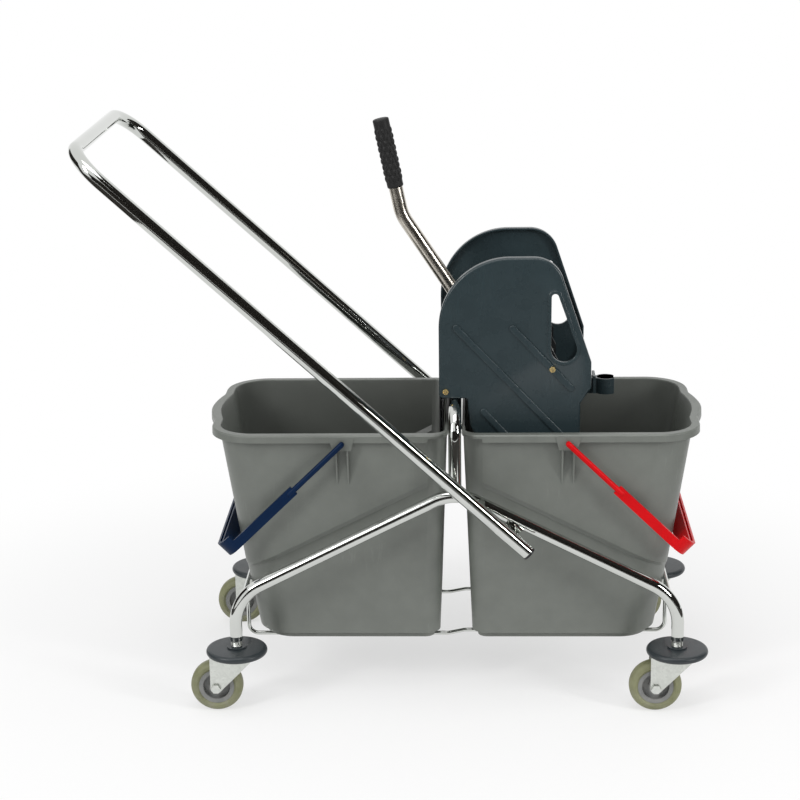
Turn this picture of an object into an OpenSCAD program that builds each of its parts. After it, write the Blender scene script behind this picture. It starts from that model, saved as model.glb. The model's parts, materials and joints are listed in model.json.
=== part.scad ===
// Double mop bucket trolley: chrome tube frame on four swivel castors, two lift-out buckets,
// a lever press hooked over the middle arch and a long push handle. Millimetres, +Z up, floor at z = 0.

/* [Castors] */
// Distance between the castor stems along the trolley
stem_span_x = 628; // [600:1:660]
// Distance between the castor stems across the trolley
stem_span_y = 330; // [322:1:360]
// Wheel diameter over the tyre
wheel_d = 75; // [65:1:85]
// Tyre width
tyre_w = 24; // [18:1:30]
// Tyre thickness from its seat to its tread
tyre_t = 12; // [6:0.5:14]
// Distance that the axle trails behind the stem
castor_trail = 30; // [24:1:36]
// Fork sheet thickness
fork_t = 3; // [2:0.5:4]
// Radius of the fork's eye round the axle
fork_eye_r = 8; // [7:0.5:12]
// Room between the tyre and the fork's top
fork_room = 6.5; // [5:0.5:14]
// Axle bolt diameter
axle_d = 8; // [6:0.5:9]
// Castor stem diameter
stem_d = 10; // [8:0.5:12]
// Bumper disc diameter
bumper_d = 87.5; // [70:0.5:100]
// Bumper disc thickness
bumper_t = 10; // [8:0.5:14]
// Height of the threaded collar between bumper and leg
collar_h = 9; // [6:0.5:14]

/* [Tube frame] */
// Outer diameter of the frame tube
frame_tube_d = 18; // [16:0.5:20]
// Wall thickness of all tubes
tube_wall = 1.5; // [1:0.1:2]
// Slope of the side tubes, in degrees
slope_angle = 26.8; // [24:0.1:28]
// Height where the two slopes of a side frame would meet
apex_z = 329; // [322:1:336]
// Bend radius of the side frames
frame_bend_r = 65; // [50:1:75]
// Height of the press arch's crossbar
arch_z = 438; // [430:1:446]
// Bend radius of the press arch
arch_bend_r = 35; // [28:1:45]

/* [Cradle rods] */
// Rod diameter
rod_d = 6; // [5:0.5:7]
// Height of the rods under the buckets
rod_z = 84.5; // [82:0.5:90]
// Mean distance of a rod from the middle
rod_y = 82; // [74:1:90]
// Sideways jog of a rod in the gap between the buckets
rod_jog = 12; // [0:1:20]

/* [Push handle] */
// Outer diameter of the handle tube
handle_tube_d = 20; // [18:0.5:22]
// Slope of the handle legs, in degrees
handle_angle = 42.65; // [38:0.05:45]
// Length of a leg from its foot to the crossbar
handle_len = 827; // [760:1:860]
// Where the legs cross the side frames
handle_cross_x = 35; // [34:1:42]
// Length of a leg below that crossing
handle_tail = 90; // [82:1:105]
// Distance between the two bolts of a leg
bolt_pitch = 57; // [50:1:66]
// How far the legs stand off the side frames
handle_stand = 16; // [10:1:20]
// Bend radius at the crossbar
handle_bend_r = 55; // [40:1:70]
// Handle bolt diameter
bolt_d = 6; // [5:0.5:7]

/* [Buckets] */
// Bucket height
bucket_h = 318.5; // [305:0.5:322]
// Bucket length at the rim, without the spout
bucket_len = 336; // [326:1:346]
// Bucket width over the rim
bucket_w = 304; // [296:1:306]
// Gap between the two buckets
bucket_gap = 20; // [19:0.5:24]
// Wall thickness
bucket_wall = 3; // [2.4:0.1:3.6]
// Overhang of the rim at the sides and the outer end
rim_over = 10; // [8:0.5:12]
// Overhang of the thin lip at the inner end
lip_over = 1.5; // [1:0.5:2]
// Depth of the rim's skirt
skirt_h = 11; // [9:0.5:13]
// Length of the shallow skirt next to the inner end
skirt_notch = 28; // [20:1:36]
// How far the outer end leans in towards the floor
outer_draft = 49; // [40:1:56]
// How far the inner end leans in towards the floor
inner_draft = 12; // [8:1:16]
// How far the pouring spout stands out
spout_out = 11; // [6:1:14]
// Depth of the floor's recessed foot
foot_h = 5; // [3:0.5:8]

/* [Bails] */
// Distance of the bail pivot from the bucket's inner end
pivot_in = 148; // [140:1:156]
// Bail length from pivot to the middle of its grip
bail_len = 229; // [226:1:240]
// Bail angle below the horizontal at rest
bail_rest = 44; // [42:0.5:48]
// Diameter of the bail's round ends
bail_rod_d = 8; // [7:0.5:9]
// Width of the bail's flat strap
bail_strap_w = 14; // [12:1:16]
// Height of the bail's grip channel
bail_grip_w = 23; // [18:1:26]
// Bail pin diameter
bail_pin_d = 7; // [6:0.5:8]

/* [Press] */
// Width over the two side plates
press_w = 222; // [214:1:228]
// Height of the side plates above the arch bar
press_rise = 201; // [190:1:215]
// Side plate thickness
plate_t = 4; // [3:0.5:5]
// Depth of the side plates' inner lip
plate_lip = 8; // [6:1:10]
// Depth of the press in the bucket, below the arch bar
press_drop = 100; // [90:1:120]
// Length of the hook apron below the arch bar's top
apron_drop = 62; // [50:1:70]
// Tie rod diameter
tie_rod_d = 10; // [8:1:12]
// Shaft diameter of the lever
shaft_d = 12; // [10:1:14]
// Diameter of the jaw's hinge rod
jaw_rod_d = 8; // [6:1:10]
// Jaw thickness
jaw_t = 6; // [4:0.5:7]
// Bore of the mop clip
clip_d = 24; // [20:0.5:26]
// Height of the mop clip
clip_h = 23; // [18:1:28]

/* [Lever] */
// Outer diameter of the lever tube
lever_d = 20; // [18:0.5:22]
// Lever angle from +X at rest
lever_angle = 123.2; // [118:0.2:126]
// Lever length from shaft to bend
lever_len = 173; // [160:1:190]
// Angle from +X of the part with the grip
grip_angle = 101.7; // [98:0.1:108]
// Length of the rubber grip
grip_len = 100; // [90:1:115]
// Diameter of the rubber grip
grip_d = 26; // [24:0.5:30]
// Length of the short arm below the shaft
crank_len = 58; // [54:1:60]

/* [Hidden] */
$fn = 64;
// Clearances: running fit of pins, gap between bodies, seam between fixed pieces
run_gap = 0.06;
gap = 0.3;
seam = 0.05;

chrome = [0.78, 0.79, 0.8];
zinc = [0.72, 0.74, 0.72];
bucket_grey = [0.44, 0.46, 0.43];
press_slate = [0.2, 0.235, 0.25];
jaw_black = [0.06, 0.065, 0.07];
bail_blue = [0.02, 0.13, 0.3];
bail_red = [0.8, 0.02, 0.06];
tyre_olive = [0.47, 0.49, 0.35];
core_grey = [0.5, 0.51, 0.5];
bumper_grey = [0.27, 0.28, 0.31];
brass = [0.75, 0.6, 0.25];

// Castor heights, from the floor up
wheel_r = wheel_d / 2;
fork_plate_z = wheel_d + fork_room;
fork_top = fork_plate_z + fork_t;
bumper_z = fork_top + gap;
bumper_top = bumper_z + bumper_t;
boss_h = 2;
leg_z = bumper_top + boss_h + collar_h;
fl = [-stem_span_x / 2, -stem_span_y / 2];
fr = [stem_span_x / 2, -stem_span_y / 2];
rl = [-stem_span_x / 2, stem_span_y / 2];
rr = [stem_span_x / 2, stem_span_y / 2];
corners = [fl, fr, rl, rr];

// Tube frame
tube_r = frame_tube_d / 2;
side_y = stem_span_y / 2;
apex_arc_z = apex_z - frame_bend_r / cos(slope_angle);
tube_sides = 20;
outer_steps = 8;
inner_steps = 6;
rod_sides = 10;
rod_steps = 5;
rod_bend_r = 14;
corner_z = apex_z - stem_span_x / 2 * tan(slope_angle);
leg_bend_z = corner_z - frame_bend_r * tan(45 - slope_angle / 2);
leg_bend_x = stem_span_x / 2 - frame_bend_r;
// End rods, set by the angle round the leg's bend
end_rod_angle = 32;
end_rod_x = leg_bend_x + frame_bend_r * cos(end_rod_angle);
end_rod_z = leg_bend_z + frame_bend_r * sin(end_rod_angle);

// Push handle: the leg's line crosses the right slope beside the arch
handle_r = handle_tube_d / 2;
handle_y = side_y + tube_r + handle_stand + handle_r;
lug_t = 6;
sleeve_r = 8;
leg_dir = [-cos(handle_angle), sin(handle_angle)];
leg_cross = [handle_cross_x, apex_z - handle_cross_x * tan(slope_angle)];
handle_foot = leg_cross - handle_tail * leg_dir;
handle_bar = handle_foot + handle_len * leg_dir;
lug_bolt = leg_cross - bolt_pitch * leg_dir;

// Buckets, written for the right one
bucket_z = rod_z + rod_d / 2 + gap;
rim_z = bucket_z + bucket_h;
lip_x = bucket_gap / 2;
rim_x = lip_x + bucket_len;
rim_y = bucket_w / 2;
rim_t = 3;
notch_skirt_h = skirt_h / 2;
corner_in = 22;
corner_out = 52;
side_taper_high = 0.03;
side_taper_low = 0.075;
shoulder_rise = 16;
shoulder_h = 8;
foot_inset = 8;
spout_share = 0.72;
corner_steps = 8;
end_steps = 12;

// Bails
pivot_x = lip_x + pivot_in;
pivot_z = rim_z - 12;
lug_out = 1;
lug_y = rim_y + lug_out;
arm_y = lug_y + gap + bail_rod_d / 2;
strap_t = 5;
bail_corner_r = 26;
bail_rod_len = 95;
grip_depth = 14;

// Press
plate_y = press_w / 2;
plate_in = plate_y - plate_t;
lip_in = plate_in - plate_lip;
hook_z = arch_z + tube_r + gap;
press_top = hook_z + press_rise;
press_bottom = hook_z - press_drop;
press_left = -22;
press_right = 191;
press_belly = 176;
belly_z = hook_z - 6;
shoulder_up = 16;
crown_r = 100;
brow_r = 43;
brow_x = 110;
edge_angle = 18.5;
waist_x = 30;
notch_x = 18;
notch_r = 4;
plate_corner_r = 6;
rib_w = 9.5;
rib_out = 2.2;
hole_low = [152.5, hook_z + 70.7];
hole_low_r = 18;
hole_high = [140, hook_z + 145.2];
hole_high_r = 5;
tie_rods = [[press_left + 9.2, hook_z + 10.6], [136.6, hook_z + 42.5]];
shaft_at = [20, hook_z + 97.2];
jaw_hinge = [76, hook_z - 53];
jaw_lean = 4.74;
jaw_foot = 27;
jaw_rise = 140;
jaw_slots = 9;
jaw_slot_w = 6;
boss_t = 10;
boss_wall = 5;
jaw_half = lip_in - 4;
screw_head_r = 4.2;
screw_face_r = rib_w / 2 + 0.5;
screw_r = 2.5;

// Lever
lever_r = lever_d / 2;
lever_dir = [cos(lever_angle), sin(lever_angle)];
grip_dir = [cos(grip_angle), sin(grip_angle)];
lever_tip = shaft_at - crank_len * lever_dir;
lever_corner = shaft_at + lever_len * lever_dir;
lever_bend_r = 60;
grip_start = 40;
tube_tail = 38;
grip_cap = 4;
push_bar_r = 7;
push_bar_len = 120;

// Middle of the whole trolley along X, from the handle bar to the right spout
mid_x = (handle_bar.x - handle_r + rim_x + spout_out) / 2;

function unit(v) = v / norm(v);
function arc(c, r, a0, a1, n) = [for (i = [0:n]) let (a = a0 + (a1 - a0) * i / n) c + r * [cos(a), sin(a)]];
function at_y(p, y) = [p.x, y, p.y];
function stretched(pts, d) = let (n = len(pts) - 1) [for (i = [0:n])
  i == 0 ? pts[0] + d * unit(pts[0] - pts[1]) :
  i == n ? pts[n] + d * unit(pts[n] - pts[n - 1]) : pts[i]];

// Moves the model from the frame of its arch to the middle of its own box.
module place() {
  translate([-mid_x, 0, 0]) children();
}

// A flat outline in x and z, as a plate between two values of y.
module xz_plate(y0, y1) {
  translate([0, y1, 0]) rotate([90, 0, 0]) linear_extrude(y1 - y0) children();
}

// A round bar across the trolley, at p in x and z.
module y_bar(p, y0, y1, r) {
  xz_plate(y0, y1) translate(p) circle(r);
}

module straight_bar(p, q, r) {
  d = q - p;
  translate(p) rotate([0, acos(d.z / norm(d)), atan2(d.y, d.x)]) cylinder(h = norm(d), r = r);
}

// Roll about the bar before each bend, carried along it with the bar's own side direction x.
function rolls(dirs, x, i = 0) = i >= len(dirs) - 1 ? [] :
  let (u = dirs[i], v = dirs[i + 1], n = unit(v - (u * v) * u), turn = acos(u * v))
  concat([atan2(cross(x, n) * u, x * n)], rolls(dirs, n * cos(turn) - u * sin(turn), i + 1));

// Straights and bends one after another, each drawn from the end of the one before.
module bar_run(straights, turn_rolls, turns, bend_r, r, i = 0) {
  cylinder(h = straights[i], r = r);
  if (i < len(turns))
    translate([0, 0, straights[i]]) rotate([0, 0, turn_rolls[i]]) translate([bend_r, 0, 0]) {
      rotate([90, 0, 180]) rotate_extrude(angle = turns[i]) translate([bend_r, 0]) circle(r);
      rotate([0, turns[i], 0]) translate([-bend_r, 0, 0])
        bar_run(straights, turn_rolls, turns, bend_r, r, i + 1);
    }
}

// A round bar along a line of points, bent with one radius at each inner point.
module bent_bar(pts, bend_r, r) {
  last = len(pts) - 1;
  dirs = [for (i = [0:last - 1]) unit(pts[i + 1] - pts[i])];
  turns = [for (i = [0:last - 2]) acos(dirs[i] * dirs[i + 1])];
  trims = concat([0], [for (t = turns) bend_r * tan(t / 2)], [0]);
  straights = [for (i = [0:last - 1]) norm(pts[i + 1] - pts[i]) - trims[i] - trims[i + 1]];
  tilt = acos(dirs[0].z);
  heading = atan2(dirs[0].y, dirs[0].x);
  side = [cos(heading) * cos(tilt), sin(heading) * cos(tilt), -sin(tilt)];
  translate(pts[0]) rotate([0, tilt, heading])
    bar_run(straights, rolls(dirs, side), turns, bend_r, r);
}

module bent_tube(pts, bend_r, r) {
  difference() {
    bent_bar(pts, bend_r, r);
    bent_bar(stretched(pts, 1), bend_r, r - tube_wall);
  }
}

// Sections [centre, direction, side] round one bend at p, from direction u to direction v.
function bend_sections(p, u, v, side, bend_r, steps) =
  let (n = unit(v - (u * v) * u), w = cross(u, n), turn = acos(u * v), start = p - bend_r * tan(turn / 2) * u)
  [for (k = [0:steps]) let (a = turn * k / steps) [
    start + bend_r * ((1 - cos(a)) * n + sin(a) * u),
    u * cos(a) + n * sin(a),
    (side * n) * (n * cos(a) - u * sin(a)) + (side * w) * w]];

function sections(pts, side, bend_r, steps, i = 1) =
  let (u = unit(pts[i] - pts[i - 1]))
  i == len(pts) - 1 ? [[pts[i], u, side]] :
  let (bend = bend_sections(pts[i], u, unit(pts[i + 1] - pts[i]), side, bend_r, steps))
  concat(bend, sections(pts, bend[steps][2], bend_r, steps, i + 1));

// Rings of a round section carried along a line of points, with its first side direction.
function swept(pts, side, bend_r, r, sides, steps) =
  [for (s = concat([[pts[0], unit(pts[1] - pts[0]), side]], sections(pts, side, bend_r, steps)))
    [for (j = [0:sides - 1]) let (b = 360 * j / sides)
      s[0] + r * (cos(b) * s[2] + sin(b) * cross(s[1], s[2]))]];

// A tube with open ends: its outer skin forwards, then its inner skin back.
module swept_tube(pts, side, bend_r, r) {
  bore_r = (r - tube_wall) / cos(180 / tube_sides);
  inner = swept(pts, side, bend_r, bore_r, tube_sides, inner_steps);
  last = len(inner) - 1;
  outer = swept(pts, side, bend_r, r, tube_sides, outer_steps);
  skin(concat(outer, [for (i = [0:last]) inner[last - i]]), true);
}

function side_path(y) = [
  [-stem_span_x / 2, y, leg_z], [-stem_span_x / 2, y, corner_z], [0, y, apex_z],
  [stem_span_x / 2, y, corner_z], [stem_span_x / 2, y, leg_z]];

// One side frame: two legs and two slopes in one bent tube, drilled for the handle bolt.
module side_frame(y) {
  place() color(chrome) difference() {
    swept_tube(side_path(y), [1, 0, 0], frame_bend_r, tube_r);
    y_bar(leg_cross, y - tube_r - 1, y + tube_r + 1, bolt_d / 2 + run_gap);
  }
}

// The arch stands on the two apexes, its feet coped to the tubes below.
module press_arch() {
  feet = apex_arc_z + frame_bend_r;
  path = [[0, -side_y, feet], [0, -side_y, arch_z], [0, side_y, arch_z], [0, side_y, feet]];
  place() color(chrome) difference() {
    bent_tube(path, arch_bend_r, tube_r);
    for (y = [-side_y, side_y])
      translate([0, y, apex_arc_z]) rotate([90, 0, 0])
        rotate_extrude() translate([frame_bend_r, 0]) circle(tube_r + seam);
  }
}

// One cradle rod: along under both buckets with a jog in the gap, ends turned up to the end rods.
module cradle_rod() {
  left_y = -rod_y - rod_jog / 2;
  right_y = -rod_y + rod_jog / 2;
  path = [[-end_rod_x, left_y, end_rod_z], [-end_rod_x, left_y, rod_z], [-rod_jog, left_y, rod_z],
    [rod_jog, right_y, rod_z], [end_rod_x, right_y, rod_z], [end_rod_x, right_y, end_rod_z]];
  color(chrome) difference() {
    skin(swept(path, [1, 0, 0], rod_bend_r, rod_d / 2, rod_sides, rod_steps));
    for (x = [-end_rod_x, end_rod_x])
      y_bar([x, end_rod_z], left_y - rod_d, right_y + rod_d, rod_d / 2 + seam);
  }
}

module cradle_rod_front() {
  place() cradle_rod();
}

module cradle_rod_rear() {
  place() rotate([0, 0, 180]) cradle_rod();
}

// Rod across one end of the frame, coped to the bends of both side frames.
module end_rod(end) {
  place() color(chrome) difference() {
    y_bar([end * end_rod_x, end_rod_z], -side_y, side_y, rod_d / 2);
    for (y = [-side_y, side_y])
      translate([end * leg_bend_x, y, leg_bend_z]) rotate([90, 0, 0])
        rotate_extrude() translate([frame_bend_r, 0]) circle(tube_r + seam);
  }
}

module push_handle() {
  path = [at_y(handle_foot, -handle_y), at_y(handle_bar, -handle_y),
    at_y(handle_bar, handle_y), at_y(handle_foot, handle_y)];
  place() color(chrome) difference() {
    bent_tube(path, handle_bend_r, handle_r);
    for (p = [leg_cross, lug_bolt])
      y_bar(p, -handle_y, handle_y, bolt_d / 2 + run_gap);
  }
}

// Black plugs in the lower ends of the handle legs.
module handle_end_caps() {
  plug_len = 16;
  cap_t = 3;
  place() color(jaw_black) for (y = [-handle_y, handle_y])
    translate(at_y(handle_foot, y)) rotate([0, handle_angle - 90, 0]) {
      translate([0, 0, -cap_t - seam]) cylinder(h = cap_t, r = handle_r);
      translate([0, 0, -cap_t - seam]) cylinder(h = plug_len + cap_t, r = handle_r - tube_wall - seam);
    }
}

// What the brackets are coped to: the front slope tube and the front leg of the handle.
module bracket_copes() {
  far_x = stem_span_x / 4;
  straight_bar([0, -side_y, apex_z], [far_x, -side_y, apex_z - far_x * tan(slope_angle)], tube_r + seam);
  leg_far = leg_cross + handle_tail * leg_dir;
  straight_bar(at_y(handle_foot, -handle_y), at_y(leg_far, -handle_y), handle_r + seam);
}

// Lugs under the right slopes with a boss for the lower handle bolts, and sleeves round the upper ones.
module handle_brackets() {
  lug_r = 9;
  weld_x = 9;
  weld_len = 26;
  y_out = side_y + tube_r;
  on_tube = [lug_bolt.x + weld_x, apex_z - (lug_bolt.x + weld_x) * tan(slope_angle)];
  place() color(chrome) for (side = [0, 1]) mirror([0, side, 0]) {
    difference() {
      union() {
        xz_plate(-y_out, -y_out + lug_t) hull() {
          translate(lug_bolt) circle(lug_r);
          translate(on_tube) rotate(-slope_angle)
            translate([-weld_len / 2, -tube_r + 3]) square([weld_len, 3]);
        }
        y_bar(lug_bolt, -handle_y, -y_out + 1, sleeve_r);
      }
      y_bar(lug_bolt, -handle_y - 1, -y_out + lug_t + 1, bolt_d / 2 + run_gap);
      bracket_copes();
    }
    difference() {
      y_bar(leg_cross, -handle_y, -side_y, sleeve_r);
      y_bar(leg_cross, -handle_y - 1, -side_y + 1, bolt_d / 2 + run_gap);
      bracket_copes();
    }
  }
}

// Cap screws put in from inside, through tube or lug into the handle leg.
module handle_bolts() {
  head_h = 5;
  head_r = 5.5;
  place() color(zinc) for (s = [-1, 1]) {
    inner_face = [side_y - tube_r - seam, side_y + tube_r - lug_t - seam];
    for (i = [0, 1]) {
      p = i == 0 ? leg_cross : lug_bolt;
      y0 = inner_face[i];
      mirror([0, s < 0 ? 1 : 0, 0]) difference() {
        union() {
          y_bar(p, y0 - head_h, y0, head_r);
          y_bar(p, y0 - 1, handle_y, bolt_d / 2);
        }
        xz_plate(y0 - head_h - 1, y0 - 2) translate(p) circle(2.5, $fn = 6);
      }
    }
  }
}

// Four stems: plug in the leg, threaded collar, pin through bumper and fork, riveted head.
module castor_stems() {
  plug_r = tube_r - tube_wall - seam;
  plug_h = 22;
  head_r = stem_d / 2 + 3;
  head_h = 3;
  collar_r = 8;
  groove = 0.8;
  pitch = 2;
  collar_z = bumper_top + boss_h;
  head_z = fork_plate_z - gap;
  place() color(zinc) for (c = corners)
    translate(c) rotate_extrude() polygon(concat(
      [[0, head_z - head_h], [head_r - 1, head_z - head_h], [head_r, head_z - head_h + 1], [head_r, head_z],
        [stem_d / 2, head_z], [stem_d / 2, collar_z]],
      [for (k = [0:floor(collar_h / pitch) - 1]) each
        [[collar_r - groove, collar_z + k * pitch], [collar_r, collar_z + (k + 0.5) * pitch]]],
      [[collar_r, leg_z], [plug_r, leg_z], [plug_r, leg_z + plug_h], [0, leg_z + plug_h]]));
}

// Bumper disc with a rounded edge and a raised boss round the stem.
module bumper(c) {
  r = bumper_d / 2 - bumper_t / 2;
  boss_r = 14;
  place() color(bumper_grey) translate([c.x, c.y, bumper_z]) difference() {
    union() {
      cylinder(h = bumper_t, r = r);
      rotate_extrude() translate([r, bumper_t / 2]) circle(bumper_t / 2);
      cylinder(h = bumper_t + boss_h, r = boss_r);
    }
    translate([0, 0, -1]) cylinder(h = bumper_t + boss_h + 2, r = stem_d / 2 + seam);
  }
}

// Bent sheet fork: top plate and two legs that narrow to the axle eyes.
module castor_fork(c) {
  side_room = 2;
  inner = tyre_w / 2 + side_room;
  front_x = 20;
  apron_h = 8;
  eye = [-castor_trail, wheel_r];
  lean = atan2(fork_top - apron_h - wheel_r, front_x + castor_trail) - 90;
  leg = concat([[eye.x - fork_eye_r, fork_top], [front_x, fork_top], [front_x, fork_top - apron_h]],
    arc(eye, fork_eye_r, lean, -180, 12));
  place() color(zinc) translate([c.x, c.y, 0]) difference() {
    union() {
      for (y = [-inner - fork_t, inner])
        xz_plate(y, y + fork_t) polygon(leg);
      translate([eye.x - fork_eye_r, -inner - fork_t, fork_plate_z])
        cube([front_x - eye.x + fork_eye_r, 2 * (inner + fork_t), fork_t]);
    }
    y_bar(eye, -inner - fork_t - 1, inner + fork_t + 1, axle_d / 2 + run_gap);
    translate([0, 0, fork_plate_z - 1]) cylinder(h = fork_t + 2, r = stem_d / 2 + run_gap);
  }
}

// Axle bolt with hexagon head and nut.
module castor_axle(c) {
  half = tyre_w / 2 + 2 + fork_t + seam;
  hex_r = axle_d * 0.9;
  hex_h = 4;
  eye = [-castor_trail, wheel_r];
  place() color(zinc) translate([c.x, c.y, 0]) {
    y_bar(eye, -half - 1, half + hex_h + 1, axle_d / 2);
    for (y = [-half - hex_h, half])
      xz_plate(y, y + hex_h) translate(eye) circle(hex_r, $fn = 6);
  }
}

function seat_r() = wheel_r - tyre_t;

// Wheel core: hub, web and rim turned about the axle.
module wheel_core(c) {
  hub_half = tyre_w / 2 + 2 - gap;
  hub_r = axle_d / 2 + 6;
  rim_half = tyre_w / 2 - 2;
  web_half = 2;
  rim_in = seat_r() - 6.4;
  place() color(core_grey) translate([c.x - castor_trail, c.y, wheel_r]) rotate([90, 0, 0])
    rotate_extrude() polygon([
      [axle_d / 2 + run_gap, -hub_half], [hub_r, -hub_half], [hub_r, -web_half], [rim_in, -web_half],
      [rim_in, -rim_half], [seat_r(), -rim_half], [seat_r(), rim_half], [rim_in, rim_half],
      [rim_in, web_half], [hub_r, web_half], [hub_r, hub_half], [axle_d / 2 + run_gap, hub_half]]);
}

// Tyre with a crowned tread and rounded shoulders.
module tyre(c) {
  half = tyre_w / 2;
  round_r = min(tyre_t, half) * 0.75;
  shoulder = [wheel_r - round_r, half - round_r];
  foot = half - 2;
  place() color(tyre_olive) translate([c.x - castor_trail, c.y, wheel_r]) rotate([90, 0, 0])
    rotate_extrude() polygon(concat(
      [[seat_r() + seam, -foot]],
      arc([shoulder.x, -shoulder.y], round_r, -90, 0, 8),
      arc(shoulder, round_r, 0, 90, 8),
      [[seat_r() + seam, foot]]));
}

// Bucket walls at height z: inner end, outer end, and sides above or below the shoulder.
function climb(z) = (z - bucket_z) / bucket_h;
function end_in(z) = lip_x + lip_over + inner_draft * (1 - climb(z));
function end_out(z) = rim_x - rim_over - outer_draft * (1 - climb(z));
function side_high(z) = rim_y - rim_over - (rim_z - z) * side_taper_high;
function side_low(z) = rim_y - rim_over - (rim_z - z) * side_taper_low;
// The shoulder follows the slope tube below it.
function shoulder_z(x) = apex_z - x * tan(slope_angle) + shoulder_rise;
function bulge(t) = abs(t) < spout_share ? cos(90 * t / spout_share) : 0;

// One level outline: x from x0 to x1, half widths ya at x0 and yb at x1, spout bulge at the outer end.
function outline(x0, x1, ya, yb, r0, r1, spout) =
  let (y1 = ya - r1, xs = max(lip_x + skirt_notch, x0 + r0 + 2),
    raw = concat(
      arc([x0 + r0, -ya + r0], r0, 180, 270, corner_steps),
      [[xs - 0.5, -ya], [xs + 0.5, -ya]],
      arc([x1 - r1, -y1], r1, 270, 360, corner_steps),
      [for (k = [1:end_steps - 1]) let (t = 2 * k / end_steps - 1) [x1 + spout * bulge(t), t * y1]],
      arc([x1 - r1, y1], r1, 0, 90, corner_steps),
      [[xs + 0.5, ya], [xs - 0.5, ya]],
      arc([x0 + r0, ya - r0], r0, 90, 180, corner_steps)))
  [for (p = raw) [p.x, p.y * (1 + (yb / ya - 1) * (p.x - x0) / (x1 - x0))]];

function lifted(pts, zf) = [for (p = pts) [p.x, p.y, zf(p.x)]];
// A ring of the wall at a fixed height, grown outwards by out, and by lip at the inner end.
function level_ring(z, half, out, lip, spout) =
  lifted(outline(end_in(z) - lip, end_out(z) + out, half + out, half + out,
    max(corner_in + lip, 6), max(corner_out + out, 10), spout), function(x) z);
// A slanted ring along the shoulder, dz above its lower edge, inset by the wall.
function shoulder_ring(dz, low, inset) =
  let (x0 = end_in(shoulder_z(lip_x) + dz), x1 = end_out(shoulder_z(rim_x - outer_draft) + dz),
    za = shoulder_z(x0) + dz, zb = shoulder_z(x1) + dz,
    ya = low ? side_low(za) : side_high(za), yb = low ? side_low(zb) : side_high(zb))
  lifted(outline(x0 + inset, x1 - inset, ya - inset, yb - inset, corner_in - inset, corner_out - inset, 0),
    function(x) shoulder_z(x) + dz);
// The skirt's lower edge steps up next to the inner end.
function skirt_ring(out, lip) =
  let (z = rim_z - skirt_h)
  lifted(outline(end_in(rim_z) - lip, end_out(rim_z) + out, side_high(rim_z) + out, side_high(rim_z) + out,
    corner_in + lip, corner_out + out, spout_out),
    function(x) x < lip_x + skirt_notch ? rim_z - notch_skirt_h : z);

function bucket_rings() =
  let (w = bucket_wall, top = side_high(rim_z), floor_z = bucket_z + foot_h - 1,
    step_z = bucket_z + foot_h + 4,
    skirt_in = rim_over - rim_t, lip_in_x = lip_over - 0.5)
  [level_ring(bucket_z, side_low(bucket_z), -foot_inset, -foot_inset, 0),
    level_ring(bucket_z + foot_h, side_low(bucket_z), -foot_inset, -foot_inset, 0),
    level_ring(step_z, side_low(step_z), 0, 0, 0),
    shoulder_ring(0, true, 0),
    shoulder_ring(shoulder_h, false, 0),
    level_ring(rim_z - rim_t, top, 0, 0, spout_out * 0.8),
    level_ring(rim_z - rim_t, top, skirt_in, lip_in_x, spout_out),
    skirt_ring(skirt_in, lip_in_x),
    skirt_ring(rim_over, lip_over),
    level_ring(rim_z - 2, top, rim_over, lip_over, spout_out),
    level_ring(rim_z, top, rim_over - 2, lip_over - 1, spout_out),
    level_ring(rim_z, top, -w + 1, -w + 1, spout_out * 0.8),
    level_ring(rim_z - 2, top, -w, -w, spout_out * 0.8),
    shoulder_ring(shoulder_h + 1, false, w),
    shoulder_ring(1, true, w),
    level_ring(step_z + 2, side_low(step_z), -w, -w, 0),
    level_ring(floor_z, side_low(bucket_z), -foot_inset - w, -foot_inset - w, 0)];

// A closed skin through rings of equal length, with flat ends, or looped from its last ring to its first.
module skin(rings, looped = false) {
  n = len(rings[0]);
  last = len(rings) - 1;
  polyhedron(points = [for (r = rings) each r], faces = concat(
    looped ? [] : [[for (j = [0:n - 1]) j], [for (j = [n - 1:-1:0]) last * n + j]],
    [for (i = [0:looped ? last : last - 1]) for (j = [0:n - 1])
      let (k = (j + 1) % n, a = i * n, b = (i + 1) % (last + 1) * n)
      each [[a + j, b + j, b + k], [a + j, b + k, a + k]]]));
}

// Pivot lug under the rim with two fins below it, on the front side.
module bail_lug() {
  top_half = 18;
  low_half = 13;
  lug_z = rim_z - 22;
  wall_y = side_high(lug_z) - 1.5;
  fin_t = 2.5;
  fin_x = 8;
  fin_low = lug_z - 56;
  xz_plate(-lug_y, -wall_y) polygon([[pivot_x - low_half, lug_z], [pivot_x + low_half, lug_z],
    [pivot_x + top_half, rim_z - 2], [pivot_x - top_half, rim_z - 2]]);
  for (x = [pivot_x - fin_x, pivot_x + fin_x])
    translate([x - fin_t / 2, 0, 0]) rotate([90, 0, 90]) linear_extrude(fin_t) polygon([
      [-lug_y + 1, lug_z + 1], [-lug_y + 1, lug_z - 10],
      [-side_high(fin_low) + 0.5, fin_low], [-side_high(fin_low) + 1.5, fin_low], [-wall_y, lug_z + 1]]);
}

module bucket() {
  color(bucket_grey) difference() {
    union() {
      skin(bucket_rings());
      bail_lug();
      mirror([0, 1, 0]) bail_lug();
    }
    for (y = [-lug_y - 1, lug_y - 10])
      y_bar([pivot_x, pivot_z], y, y + 11, bail_pin_d / 2 + run_gap);
  }
}

module bucket_right() {
  place() bucket();
}

module bucket_left() {
  place() mirror([1, 0, 0]) bucket();
}

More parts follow.
